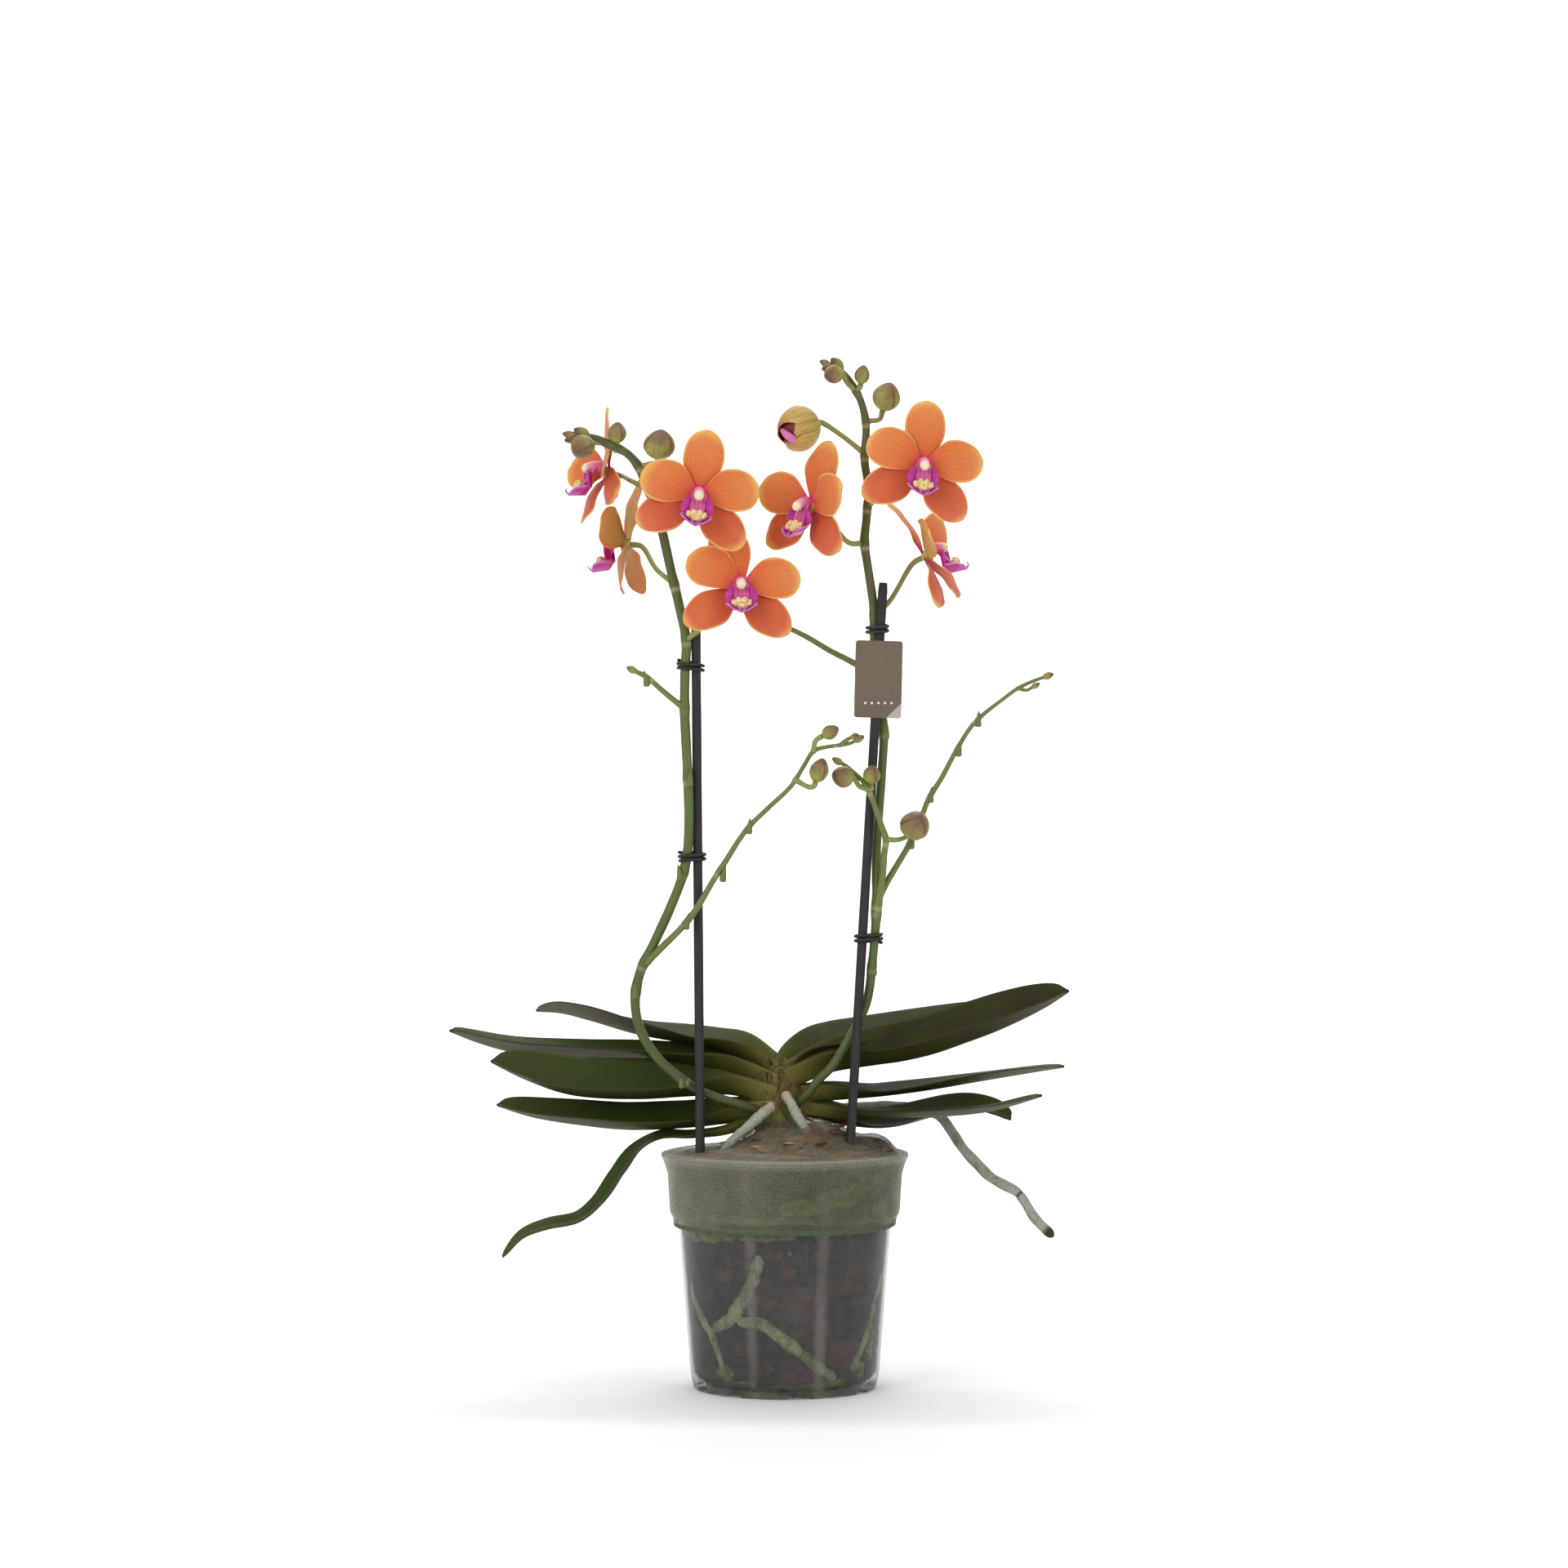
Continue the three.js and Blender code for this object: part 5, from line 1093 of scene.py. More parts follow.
# %% Root skin
def root_skin(name, dry, wet, share):
    """Silver skin with fine pits, and drifts of green that cover more of it with a larger share. pink shows
    where the root leaves the stem, and tip is its dark growing end."""
    f = Finish(name, Specular_IOR_Level=0.25)
    drift = f.noise(130, f.stretched(1, 1, 0.7), detail=4)
    pits = f.noise(1300, detail=3)
    colour = f.mix(f.between(drift, 0.62 - share, 0.86 - share), dry, wet)
    colour = f.mix(f.between(pits, 0.5, 0.72, 0, 0.4), colour, (206, 206, 192))
    colour = f.mix(f.between(pits, 0.5, 0.3, 0, 0.5), colour, (76, 72, 56))
    colour = f.mix(f.times(f.fact("pink"), 0.7), colour, (206, 160, 132))
    colour = f.mix(f.fact("tip"), colour, (46, 62, 34))
    f.relief(f.plus(f.times(pits, 0.5), drift), 0.35)
    return f.done(colour, pits, 0.65, 0.9)


AIR_ROOT = root_skin("silver root skin", (164, 166, 154), (112, 122, 92), 0.12)
POT_ROOT = root_skin("wet root skin", (152, 160, 122), (84, 106, 54), 0.22)


CRACK = 0.86  # the share of the long root's length where its skin has split
AIR_WOBBLE, POT_WOBBLE = 0.045, 0.13


def root_rod(name, radius, path, seed):
    """A root with a blunt end. The long one in the air has a green crack ring and a dark tip, and the two
    short ones start pink."""
    in_air, in_pot = name == "root_in_air", name.startswith("root_in_pot")
    ring = lambda s: bump(s - CRACK, 0.0035) * in_air + smooth((s - 0.985) / 0.012) * in_air
    pink = lambda s: (1 - smooth(s / 0.1)) * (not in_air) * (not in_pot)
    width = lambda s: radius[0] + (radius[1] - radius[0]) * s - 0.5 * bump(s - CRACK, 0.006) * in_air
    wobble = knuckled(seed, POT_WOBBLE if in_pot else AIR_WOBBLE)
    return tube(path, width, 130, 18, (0.9, 1.5), squeeze=wobble, pink=pink, tip=ring)


for seed, (name, root) in enumerate(ROOTS.items()):
    piece(f"{name}.skin", [root_rod(name, root["radius"], root["path"], seed)], [AIR_ROOT], name)
for seed, (name, root) in enumerate(POT_ROOTS.items(), 10):
    path, r = pot_root_path(**root), root["radius"]
    piece(f"{name}.skin", [root_rod(name, (r, 0.85 * r), path, seed)], [POT_ROOT], name)
print(len(ROOTS), "roots outside the pot and", len(POT_ROOTS), "in it")

# %% [markdown]
# ## Stakes, ties and the care card
#
# Two black stakes hold the spikes. They are split bamboo painted black: straight, with a fine grain along
# them and cut ends. Each tie is a sprung wire ring of two turns, a racetrack round the stake and the
# stem. The card keeps its own solid and gets a printed finish: brown-grey board, five pale dots and a
# pale corner. It has no words on it.

# %% Stakes
STAKE_RADIUS, TIE_WIRE, GAP = 2.3, 0.85, 0.3
TIE_TURNS, TIE_CLIMB = 1.9, 2.15
STAKES = {
    "stake_left": [(-40.4, -20.6, 45), (-43, -27.4, 375.3)],
    "stake_right": [(27.3, -21, 45), (47.9, -14, 392.8)],
}


def stake_paint():
    """Near-black paint over a fibrous rod: grain drawn out along it, and brown where it is rubbed."""
    f = Finish("black stake paint", Specular_IOR_Level=0.35)
    grain = f.noise(900, f.stretched(1, 1, 0.03), detail=4)
    rubbed = f.between(f.noise(120, f.stretched(1, 1, 0.2), detail=4), 0.62, 0.75, 0, 0.5)
    colour = f.mix(grain, (26, 24, 25), (56, 52, 52))
    colour = f.mix(rubbed, colour, (88, 78, 72))
    f.relief(grain, 0.3)
    return f.done(colour, grain, 0.45, 0.7)


STAKE = stake_paint()
for name, (low, high) in STAKES.items():
    flats = lambda share, turn: 1 + 0.02 * np.sin(3 * turn + 2 * share) + 0.012 * np.sin(40 * share)
    width = lambda s: STAKE_RADIUS * (1 - 0.14 * bump(s - 1, 0.002) - 0.14 * bump(s, 0.002))
    rod = tube([low, high], width, 90, 26, (0.08, 0.08), squeeze=flats)
    piece(f"{name}.rod", [rod], [STAKE], name)
print("stakes stand", [ends[1][2] for ends in STAKES.values()], "mm high")

# %% Ties
# stem: the spike's stem at that height; lean: how far the ring is tipped
TIES = table("on height stem lean", [
    ("tie_left_upper", "stake_left", 352, (-48.2, -28), 1.1),
    ("tie_left_lower", "stake_left", 260, (-47.6, -27.7), 0),
    ("tie_right_upper", "stake_right", 370.5, (43.4, -10.4), 0.4),
    ("tie_right_lower", "stake_right", 220, (43.7, -15.4), 0),
])


def along_stake(name, z):
    """The place on a stake at a height, on the straight between its ends."""
    low, high = np.array(STAKES[name])
    return low + (high - low) * (z - low[2]) / (high[2] - low[2])


def tie_path(on, height, stem, lean):
    """Two turns that climb as they go: at each turn, a half circle round the stake or the stem, whichever
    is on that side, joined by straights."""
    centre, other = along_stake(on, height)[:2], np.array(stem)
    facing = np.arctan2(*(other - centre)[::-1])
    steps = np.arange(37)
    turn = 2 * np.pi * TIE_TURNS * steps / 36
    side = np.cos(turn)
    middle = np.where(side[:, None] > 0, other, centre)
    round_it = STAKE_RADIUS + TIE_WIRE + GAP
    xy = middle + round_it * np.stack([np.cos(turn + facing), np.sin(turn + facing)], axis=-1)
    z = height + TIE_CLIMB * (steps / 36 - 0.5) * TIE_TURNS + lean * side
    return np.dstack([xy[None], z[None, :, None]])[0]


def black_rubber():
    """Matt black coating on the wire, with a little dust in its grain."""
    f = Finish("black coated wire", Specular_IOR_Level=0.4)
    grain = f.noise(2200, detail=2)
    f.relief(grain, 0.12)
    return f.done(f.mix(grain, (24, 23, 24), (52, 50, 50)), grain, 0.38, 0.55)


WIRE = black_rubber()
for name, shape in TIES.items():
    ring = tube(tie_path(**shape), lambda s: TIE_WIRE + 0 * s, 120, 12, (0.9, 0.9))
    piece(f"{name}.wire", [ring], [WIRE], name)
print(len(TIES), "ties")


# %% Care card
def card_print():
    """Brown-grey board with paper grain, five dots in a row, a pale corner and a pale rim, all drawn from
    the distance to lines and points on the card's face. Lengths are in metres from its middle."""
    low, high = (np.array(corner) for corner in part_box("care_card"))
    mid_x, mid_z = (low[0] + high[0]) / 2, (low[2] + high[2]) / 2
    f = Finish("printed card", Specular_IOR_Level=0.4)
    axes = f.axes()
    x, z = f.minus(axes[0], float(mid_x)), f.minus(axes[2], float(mid_z))
    pitch, reach, row_below, half_width = 0.0032, 0.0006, 0.0115, 0.0114
    cell = f.plus(f.maths("DIVIDE", x, pitch), 0.5)
    near = f.times(f.minus(f.maths("FRACT", cell), 0.5), pitch)
    drop = f.plus(z, row_below)
    away = f.maths("SQRT", f.plus(f.maths("POWER", near, 2.0), f.maths("POWER", drop, 2.0)))
    inside = f.maths("LESS_THAN", f.size_of(x), 2.5 * pitch)
    dots = f.times(f.between(away, reach * 1.15, reach * 0.85), inside)
    slope = f.minus(f.times(x, 0.95), z)
    corner = f.between(slope, 0.0222, 0.0224)
    grain = f.noise(1100, detail=4)
    board = f.mix(grain, (104, 89, 74), (118, 103, 88))
    colour = f.mix(corner, board, f.mix(grain, (168, 164, 158), (188, 184, 178)))
    colour = f.mix(dots, colour, (232, 228, 220))
    rim = f.between(f.size_of(x), half_width - 0.00015, half_width, 0, 0.6)
    colour = f.mix(rim, colour, (150, 142, 130))
    f.relief(grain, 0.05)
    return f.done(colour, grain, 0.42, 0.56)


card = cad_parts["care_card"]
card.data.materials.clear()
card.data.materials.append(card_print())

# %% [markdown]
# ## The flower spikes
#
# Each spike is one grown piece: a main stem, side branches, a pointed bract at every joint, and the
# stalks of its flowers and buds. Tubes along smooth paths do all of it. The main stem swells a little at
# a joint and shows a pale ring there. A stalk is younger and paler than the stem it leaves.

# %% Flowers' places
# points: the five tepals' angles from the top; lifts: how far their tips come forward, mm
FLOWERS = table("at turn nod spin size points lifts", [
    ("flower_left_1", (-41.3, -52, 432.2), 4, 3, 8, 1.01, (0, 75, -75, 131, -120), (0, 1, 1, 1, 1)),
    ("flower_left_2", (-21.2, -43, 389.2), 3, 12, 0, 1.01, (-15, 78, -58, 134, -123), (0, 1, 1, 1, 1)),
    ("flower_left_3", (-78.3, -8, 412.2), -104, 8, 0, 1, (0, 69, -60, 137, -131), (0, 7, 8, -3, -2)),
    ("flower_left_4", (-88.5, -2, 448), -80, 14, 0, 1, (0, 75, -92, 114, -146), (10, 4, 16, -1, 8)),
    ("flower_right_1", (66.3, -37, 447.5), 5, 4, 6, 1.01, (-1, 78, -68, 136, -121), (0, 1, 1, 1, 1)),
    ("flower_right_2", (12, -28, 429), -43, 3, 0, 1.02, (18, 77, -68, 137, -123), (2, 9, 9, 7, 7)),
    ("flower_right_3", (70, -6, 407), 75, 28, 0, 0.98, (0, 56, -74, 136, -150), (-1, 12, 12, 6.5, 0)),
])
BUDS = table("at axis length half", [
    ("bud_left_1", (-60.3, -36, 458.2), (0.1, -0.45, 0.9), 15, 7.7),
    ("bud_left_2", (-80.8, -33, 464.2), (0.05, -0.3, 0.95), 10.6, 4.6),
    ("bud_left_3", (-97, -43, 456.5), (-0.35, -0.8, -0.35), 12.8, 6),
    ("bud_right_1", (49.5, -12, 483.5), (0.25, -0.35, 0.9), 14.5, 6.9),
    ("bud_right_2", (37.5, -19, 493.5), (0.15, -0.35, 0.93), 9.6, 3.7),
    ("bud_right_3", (23.5, -26.5, 493), (-0.6, -0.75, -0.2), 10.5, 4.6),
    ("bud_branch_1", (21.8, -36, 320), (0.85, -0.2, 0.45), 9.2, 3.5),
    ("bud_branch_2", (16.5, -38, 301.5), (0.3, -0.2, 0.93), 12.4, 4.6),
    ("bud_branch_3", (28, -28.5, 298.5), (-0.7, -0.65, 0.1), 12, 5.3),
    ("bud_branch_4", (42, -24.5, 299.5), (0.05, -0.5, 0.86), 9.6, 4.3),
    ("bud_branch_5", (63, -24, 275), (0.25, -0.8, 0.5), 14.8, 7.3),
])
OPENING = dict(at=(6.5, -20, 467.5), axis=(-0.8, -0.4, -0.25), length=22, half=10.6)
FLOWER_BACK = 3.4


def flower_frame(at, turn, nod, spin, **_):
    """A flower's middle and its front, up and right: front turns by turn about Z and lifts by nod, then up
    and right turn about it by spin."""
    a, b, c = np.radians([turn, nod, spin])
    front = np.array([np.sin(a) * np.cos(b), -np.cos(a) * np.cos(b), np.sin(b)])
    level = np.array([np.cos(a), np.sin(a), 0])
    high = np.cross(front, level)
    up = high * np.cos(c) + level * np.sin(c)
    right = level * np.cos(c) - high * np.sin(c)
    return np.array(at, float), front, up, right


def stalk_end(name):
    """Where a stalk ends, a gap behind its flower or bud, and the way in."""
    if name in FLOWERS:
        middle, front, _, _ = flower_frame(**FLOWERS[name])
        return middle - front * (FLOWER_BACK + 0.1), front
    shape = BUDS.get(name, OPENING)
    way = unit(np.array(shape["axis"], float))
    return np.array(shape["at"], float) - way * (shape["length"] / 2 + 0.05), way


# %% Spike paths
SPIKES = {
    "spike_left": dict(
        radius=(2.35, 1.75),
        main=[
            (-10.5, -6.5, 133.5), (-16, -9.5, 136.5), (-23.5, -13.5, 139.5), (-34, -16, 143),
            (-44, -17, 147.5), (-53, -20.5, 154), (-63, -23.5, 164), (-70, -23.5, 176), (-72.5, -22, 190),
            (-70, -22, 204), (-62.8, -23.5, 219), (-55.2, -26, 235.5), (-49.8, -27, 249.5),
            (-47.2, -27.8, 261), (-46.3, -28.6, 279), (-46.7, -28.7, 295), (-47.6, -28.5, 313),
            (-48.4, -28.2, 331), (-48.2, -28, 350.5), (-47.6, -28.5, 363.5), (-50.5, -29.5, 379),
            (-54, -30.5, 394), (-58, -31, 412), (-61.5, -31, 426.5), (-66, -30.5, 437), (-70.5, -30, 448),
            (-75.5, -30, 454), (-80.5, -30.5, 457), (-85.5, -32, 459), (-91, -34, 461.3),
            (-97.5, -35.5, 462.3), (-103, -36, 463),
        ],
        branches=[
            ((1.75, 0.9), [
                (-67.5, -22.8, 208), (-59, -27, 216.5), (-49.5, -30.4, 226), (-42.5, -31.4, 235),
                (-34.5, -32, 248.5), (-29, -32.5, 257), (-18.5, -33.5, 273), (-8.5, -34, 283),
                (3, -34.5, 294), (9, -34.5, 303.5), (14, -34.5, 311), (20, -34.5, 312.8),
                (27, -34.5, 313.8), (31.5, -34.5, 314.6), (34.6, -34.5, 316.2),
            ]),
            ((1.5, 1.2), [
                (-48.4, -28.2, 331.5), (-53, -29.5, 335), (-59, -31.5, 340), (-66.5, -34, 346.5),
                (-72.5, -36, 349.5),
            ]),
            ((1.1, 0.9), [(27, -34.5, 313.8), (30, -36, 316.4), (32.6, -37.5, 317.6)]),
        ],
        bracts=[
            (-45.9, -31.2, 298, 0.2), (-50.5, -30.2, 252.5, -0.5), (-17.2, -34.5, 275, 0.2),
            (-29.8, -33.6, 252, 0.6), (-47.5, -31.8, 229, 0.5), (-72.4, -23.6, 195, -0.2),
            (-50, -21, 151.5, -0.4), (-66.5, -34.6, 346, -0.6),
        ],
        stalks=[
            ("flower_left_1", (-61.6, -31, 427.5), (-51, -36, 430)),
            ("flower_left_2", (-47.6, -28.8, 364.5), (-41, -35, 369.5)),
            ("flower_left_3", (-53.4, -30.4, 391.5), (-62, -23, 398.8)),
            ("flower_left_4", (-66, -30.5, 437), (-74, -24, 441.5)),
            ("bud_left_1", (-70.4, -30, 448.2), (-64.5, -31.5, 449.5)),
            ("bud_left_2", (-81.5, -30.6, 456), (-81.2, -30.6, 457)),
            ("bud_left_3", (-86, -32, 459.2), (-90.5, -34, 459.3)),
            ("bud_branch_1", (13.8, -34.5, 310.8), (14.6, -35.2, 315.5)),
            ("bud_branch_2", (5, -34.5, 297), (12, -36, 293.5)),
        ],
    ),
    "spike_right": dict(
        radius=(2.2, 1.3),
        main=[
            (5.5, -7.5, 138.5), (11, -10.5, 144), (16, -12, 150.5), (22.5, -12.6, 157),
            (29.8, -12.2, 168), (35.2, -11.6, 178), (39.4, -12.9, 187.5), (41.3, -13.8, 196.5),
            (42.2, -14.6, 205), (43.4, -15.4, 217), (44.4, -15.4, 230), (44.6, -14.6, 241),
            (44.4, -13.4, 250), (44.8, -12.4, 266), (46, -12, 284), (47.4, -11.6, 303),
            (48.2, -11.2, 319), (47, -10.4, 333), (45.2, -9.8, 347), (44, -9.9, 359), (43.4, -10.3, 369),
            (43.4, -10.7, 380), (42, -11, 390.5), (40.3, -11.3, 401.5), (38.8, -11.5, 412.5),
            (39.8, -12, 425), (40.6, -12.5, 439.5), (38.8, -13, 452.5), (39.5, -13.5, 470),
            (37, -14.5, 481), (34, -15, 487), (30.5, -15.5, 492.5), (26, -16.5, 496.6),
            (20.5, -18.5, 498.8),
        ],
        branches=[
            ((1.7, 1.15), [
                (45.2, -9.8, 346.5), (40, -7.5, 350), (33, -5, 354.5), (21.5, -3.5, 360.5),
                (11.5, -3.4, 366.5), (1.5, -5, 371.5), (-5, -7, 375), (-9, -8.5, 379),
            ]),
            ((1.9, 0.95), [
                (44.4, -15.4, 231), (46, -17, 241), (47.4, -18.4, 250), (48.3, -20, 261.5),
                (49, -20.8, 268), (46.8, -21.5, 275), (44, -22, 283), (41.2, -22, 290.5),
                (38, -22.4, 296), (33.5, -21, 300.5), (30, -20, 303.6), (26.5, -20, 305.6),
            ]),
            ((1.7, 0.85), [
                (44.7, -14.9, 237.5), (49.5, -14.4, 247), (54, -13.2, 254.5), (60.5, -11.6, 265.5),
                (67, -10, 280), (70, -9, 287.5), (76.5, -8, 298), (83.5, -7, 311), (91, -6, 323),
                (97, -5, 329), (106, -4, 336), (113.5, -4, 341.5), (120.5, -4, 345), (127.5, -4.5, 347.5),
            ]),
            ((0.9, 0.8), [(114, -4, 341.8), (118, -5.5, 340.8), (121.5, -6.8, 342.6)]),
        ],
        bracts=[
            (49.4, -11.4, 321, 0.25), (71, -9.4, 290, 0.3), (84.8, -7.3, 312.5, 0.5),
            (94.4, -6, 327, 0.2), (61.6, -12, 267.5, 0.7), (43.2, -14.9, 206, 0.3), (45.4, -16, 234, 0.4),
        ],
        stalks=[
            ("flower_right_1", (40.2, -12.2, 430), (53, -20, 441)),
            ("flower_right_2", (38.8, -11.5, 412.3), (31, -13, 412.5)),
            ("flower_right_3", (43.5, -10.6, 377), (51, -8.2, 384)),
            ("opening_bud", (39, -13, 455.5), (28.5, -12.5, 464)),
            ("bud_right_1", (39.4, -13.6, 471.5), (46, -11.5, 472.5)),
            ("bud_right_2", (34.6, -15.4, 486.2), (36, -16.6, 487.2)),
            ("bud_right_3", (34.6, -15, 486), (30, -18.5, 490)),
            ("bud_branch_3", (40, -22.2, 292.5), (36, -22.4, 294)),
            ("bud_branch_4", (40.6, -22.1, 291.6), (42, -22.6, 293)),
            ("bud_branch_5", (49, -20.8, 268.2), (55, -20.6, 268)),
        ],
    ),
}


# %% Spike skin
def spike_skin():
    """Olive green, darker towards the flowers and freckled brown, with a pale ring at joints. fresh is 0 on
    the main stem and 1 on a stalk."""
    f = Finish("spike skin", Specular_IOR_Level=0.45, Coat_Weight=0.1, Coat_Roughness=0.3)
    high = f.axes()[2]
    colour = f.ramp(
        f.between(high, 0.13, 0.5), (0, 62, 76, 30), (0.3, 88, 108, 42), (0.6, 92, 108, 46),
        (0.8, 76, 84, 38), (1, 92, 96, 46),
    )
    drift = f.noise(90, f.stretched(1, 1, 0.3), detail=3)
    colour = f.mix(f.between(drift, 0.4, 0.7, 0, 0.6), colour, (80, 72, 40))
    colour = f.mix(f.fact("fresh"), colour, f.mix(drift, (130, 138, 66), (166, 166, 98)))
    freckles = f.between(f.noise(1500, detail=2), 0.58, 0.7, 0, 0.5)
    colour = f.mix(freckles, colour, (70, 56, 34))
    colour = f.mix(f.fact("joint"), colour, (170, 164, 120))
    fibres = f.noise(800, f.stretched(1, 1, 0.1), detail=3)
    f.relief(f.plus(fibres, f.times(freckles, 0.3)), 0.14)
    return f.done(colour, fibres, 0.38, 0.55)


SPIKE = spike_skin()


# %% Spike shells
def near_share(path, place):
    """The share of a path's length at which it passes nearest to a place, and how near."""
    shares = np.linspace(0, 1, 900)
    line, _, _ = follow(path, shares)
    off = np.linalg.norm(line - np.array(place), axis=1)
    return shares[off.argmin()], off.min()


def stem_rod(path, radius, joints, fresh, sides=18, slim=1):
    """A tube that tapers with a power of its share, and swells at each joint: radius x (1 + 0.16 x a bell).
    Of the joints given, it takes those that it passes within 5 mm."""
    _, _, length = follow(path, [0])
    near = [near_share(path, joint) for joint in joints]
    marks = [share for share, off in near if off < 5]
    rings = int(min(260, max(14, length / 1.8)))

    def width(s):
        swell = sum((bump((s - m) * length, 3) for m in marks), 0 * s)
        taper = radius[0] + (radius[1] - radius[0]) * s**slim
        return taper * (1 + 0.16 * swell + 0.02 * np.sin(s * length / 5))

    ring = lambda s: sum((bump((s - m) * length + 2.6, 0.55) for m in marks), 0 * s) * 0.7
    return tube(path, width, rings, sides, (0.5, 0.8), joint=ring, fresh=fresh)


def bract_rod(x, y, z, out):
    """A pointed scale: a short cone that leans out to the side by a share, flattened to three quarters."""
    bends = ((-0.2, -3.4), (0.5, -0.6), (1.3, 1.6), (2.4, 4))
    path = [(x + side * out, y, z + rise) for side, rise in bends]
    width = lambda s: 2.15 * (1 - s**1.6) + 0.12
    flat = lambda share, turn: 1 - 0.25 * np.cos(turn) ** 2
    return tube(path, width, 14, 12, (0.4, 1), squeeze=flat, fresh=0.25, joint=0.0)


def tip_bud(middle, way, size):
    """The smallest buds at a branch's end: an egg on the stem's own direction."""
    start, end = middle - way * size * 0.9, middle + way * size * 1.25
    swell = lambda s: size * 0.78 * np.sin(np.pi * (0.12 + 0.78 * s)) ** 0.8
    return tube([start, (start + end) / 2, end], swell, 12, 12, (0.6, 0.7), finish=1, seam=0.0)


def spike_shells(radius, main, branches, bracts, stalks):
    """All the tubes of one spike. Stalks start on the stem, pass their way point and enter the flower's
    back. Each branch ends in a tiny bud, and the main stem in three."""
    joints = [b[:3] for b in bracts] + [s[1] for s in stalks] + [b[1][0] for b in branches]
    made = [stem_rod(main, radius, joints, 0.0, slim=9)]
    made += [stem_rod(path, width, joints, 0.3, 14) for width, path in branches]
    made += [bract_rod(*b) for b in bracts]
    for to, start, via in stalks:
        end, way = stalk_end(to)
        path = [start, via, end - way * (5 if to.startswith("flower") else 1.6), end]
        width = lambda s: 1.5 - 0.25 * np.sin(np.pi * s)
        made.append(tube(path, width, 26, 12, (1, 0.2), fresh=0.85, joint=0.0))
    for path in [main] + [b[1] for b in branches]:
        line, way, _ = follow(path, [1.0])
        made.append(tip_bud(line[0] + way[0] * 0.6, way[0], 2.4 if len(path) > 3 else 2.0))
    line, way, _ = follow(main, [0.986, 0.996])
    made.append(tip_bud(line[0] + (0.5, -2.6, 1.2), unit(way[0] + (0, -0.6, 0.3)), 3.7))
    made.append(tip_bud(line[1] + (-0.4, -1.6, -1.6), unit(way[1] + (0, -0.5, -0.5)), 3.2))
    return made


# %% [markdown]
# ## Buds
#
# A bud is an egg of three sepals whose edges meet in three seams. It could be a scaled sphere, but the
# seams are what make it a bud, so the radius dips at three angles, and the tip is a little crooked. Its
# skin is olive green with a brown-purple flush at the tip and along the seams.


# %% Bud
def bud_skin():
    """Olive with a brown flush towards the tip, red-brown seams, and fine veins from end to end."""
    f = Finish("bud skin", Specular_IOR_Level=0.4, Coat_Weight=0.08)
    along, around, seam = f.fact("along"), f.fact("around"), f.fact("seam")
    drift = f.noise(200, detail=3)
    colour = f.ramp(
        along, (0, 150, 158, 78), (0.45, 156, 154, 78), (0.75, 150, 138, 76),
        (1, 120, 92, 64),
    )
    flush = f.between(f.plus(drift, f.times(along, 0.35)), 0.6, 0.92, 0, 0.75)
    colour = f.mix(flush, colour, (122, 82, 66))
    veins = f.between(f.wave(f.times(around, 170.0)), 0.2, 1, 0, 0.22)
    colour = f.mix(veins, colour, (104, 86, 52))
    colour = f.mix(f.times(seam, 0.9), colour, (98, 56, 46))
    f.relief(f.plus(veins, drift), 0.25)
    return f.done(colour, drift, 0.42, 0.6)


BUD = bud_skin()


def bud_shell(at, axis, length, half, twist=0.5):
    """An egg on an axis: half x (sine of pi x the share from base to tip, to the power 0.92) to the power
    0.62, less a narrow dip at each of the seams, which twist a little. The tip is bent to one side."""
    way = unit(np.array(axis, float))
    side = unit(np.cross(way, (0.3, 1, 0.2)))
    up = np.cross(side, way)
    s = np.linspace(0.015, 0.985, 40)[:, None]
    turn = even_turns(48)[None, :]
    off = ((turn - np.pi / 2) * 1.5 + twist * s + np.pi / 2) % np.pi - np.pi / 2
    seam = bump(off, 0.15) * smooth(s / 0.3)
    plump = np.sin(np.pi * s**0.92) ** 0.62
    r = half * plump * (1 - 0.07 * seam + 0.03 * np.cos(3 * turn + 2))
    crook = 0.05 * length * s**3
    line = np.array(at, float) + way * (s[..., None] - 0.5) * length + up * crook[..., None]
    rings = line + r[..., None] * (np.cos(turn)[..., None] * side + np.sin(turn)[..., None] * up)
    facts = dict(along=s, around=turn / (2 * np.pi), seam=seam)
    start, end = np.array(at) - way * length / 2, line[-1, 0] + way * 0.015 * length
    return loft(rings, start, end, **facts)


for k, (name, shape) in enumerate(BUDS.items()):
    piece(f"{name}.sepals", [bud_shell(**shape, twist=0.5 * (-1) ** k)], [BUD], name)
for name, shape in SPIKES.items():
    piece(f"{name}.stems", spike_shells(**shape), [SPIKE, BUD], name)
print(len(BUDS), "buds and", len(SPIKES), "spikes")

# %% [markdown]
# ## The flowers
#
# A flower has three sepals and two petals, all called tepals, and a lip under a white-capped column. Each
# tepal is a blade: its outline opens to a widest place and closes to a round or pointed tip, it bows
# forward in the middle and curls back at the tip. The velvet is painted by facts: how far along the
# tepal, how near its edge, front or back. Orange turns yellow at the rim, pink at the throat, and ochre
# on the back.

# %% Tepal shapes
# lead and trail give the width of each half and where it is widest, behind is how far back a tepal starts
PETAL = dict(length=29, lead=(11.2, 0.48), trail=(9.8, 0.62), leads=-1, tip=2.2, behind=0, curl=1.5)
LATERAL = dict(length=31.5, lead=(10.2, 0.5), trail=(8.6, 0.6), leads=1, tip=1.75, behind=2.1, curl=3)
DORSAL = dict(length=32.4, lead=(10, 0.56), trail=(9.8, 0.54), leads=1, tip=2.2, behind=2.1, curl=2)
TEPALS = [DORSAL, PETAL, PETAL, LATERAL, LATERAL]
TEPAL_ROOT = 2


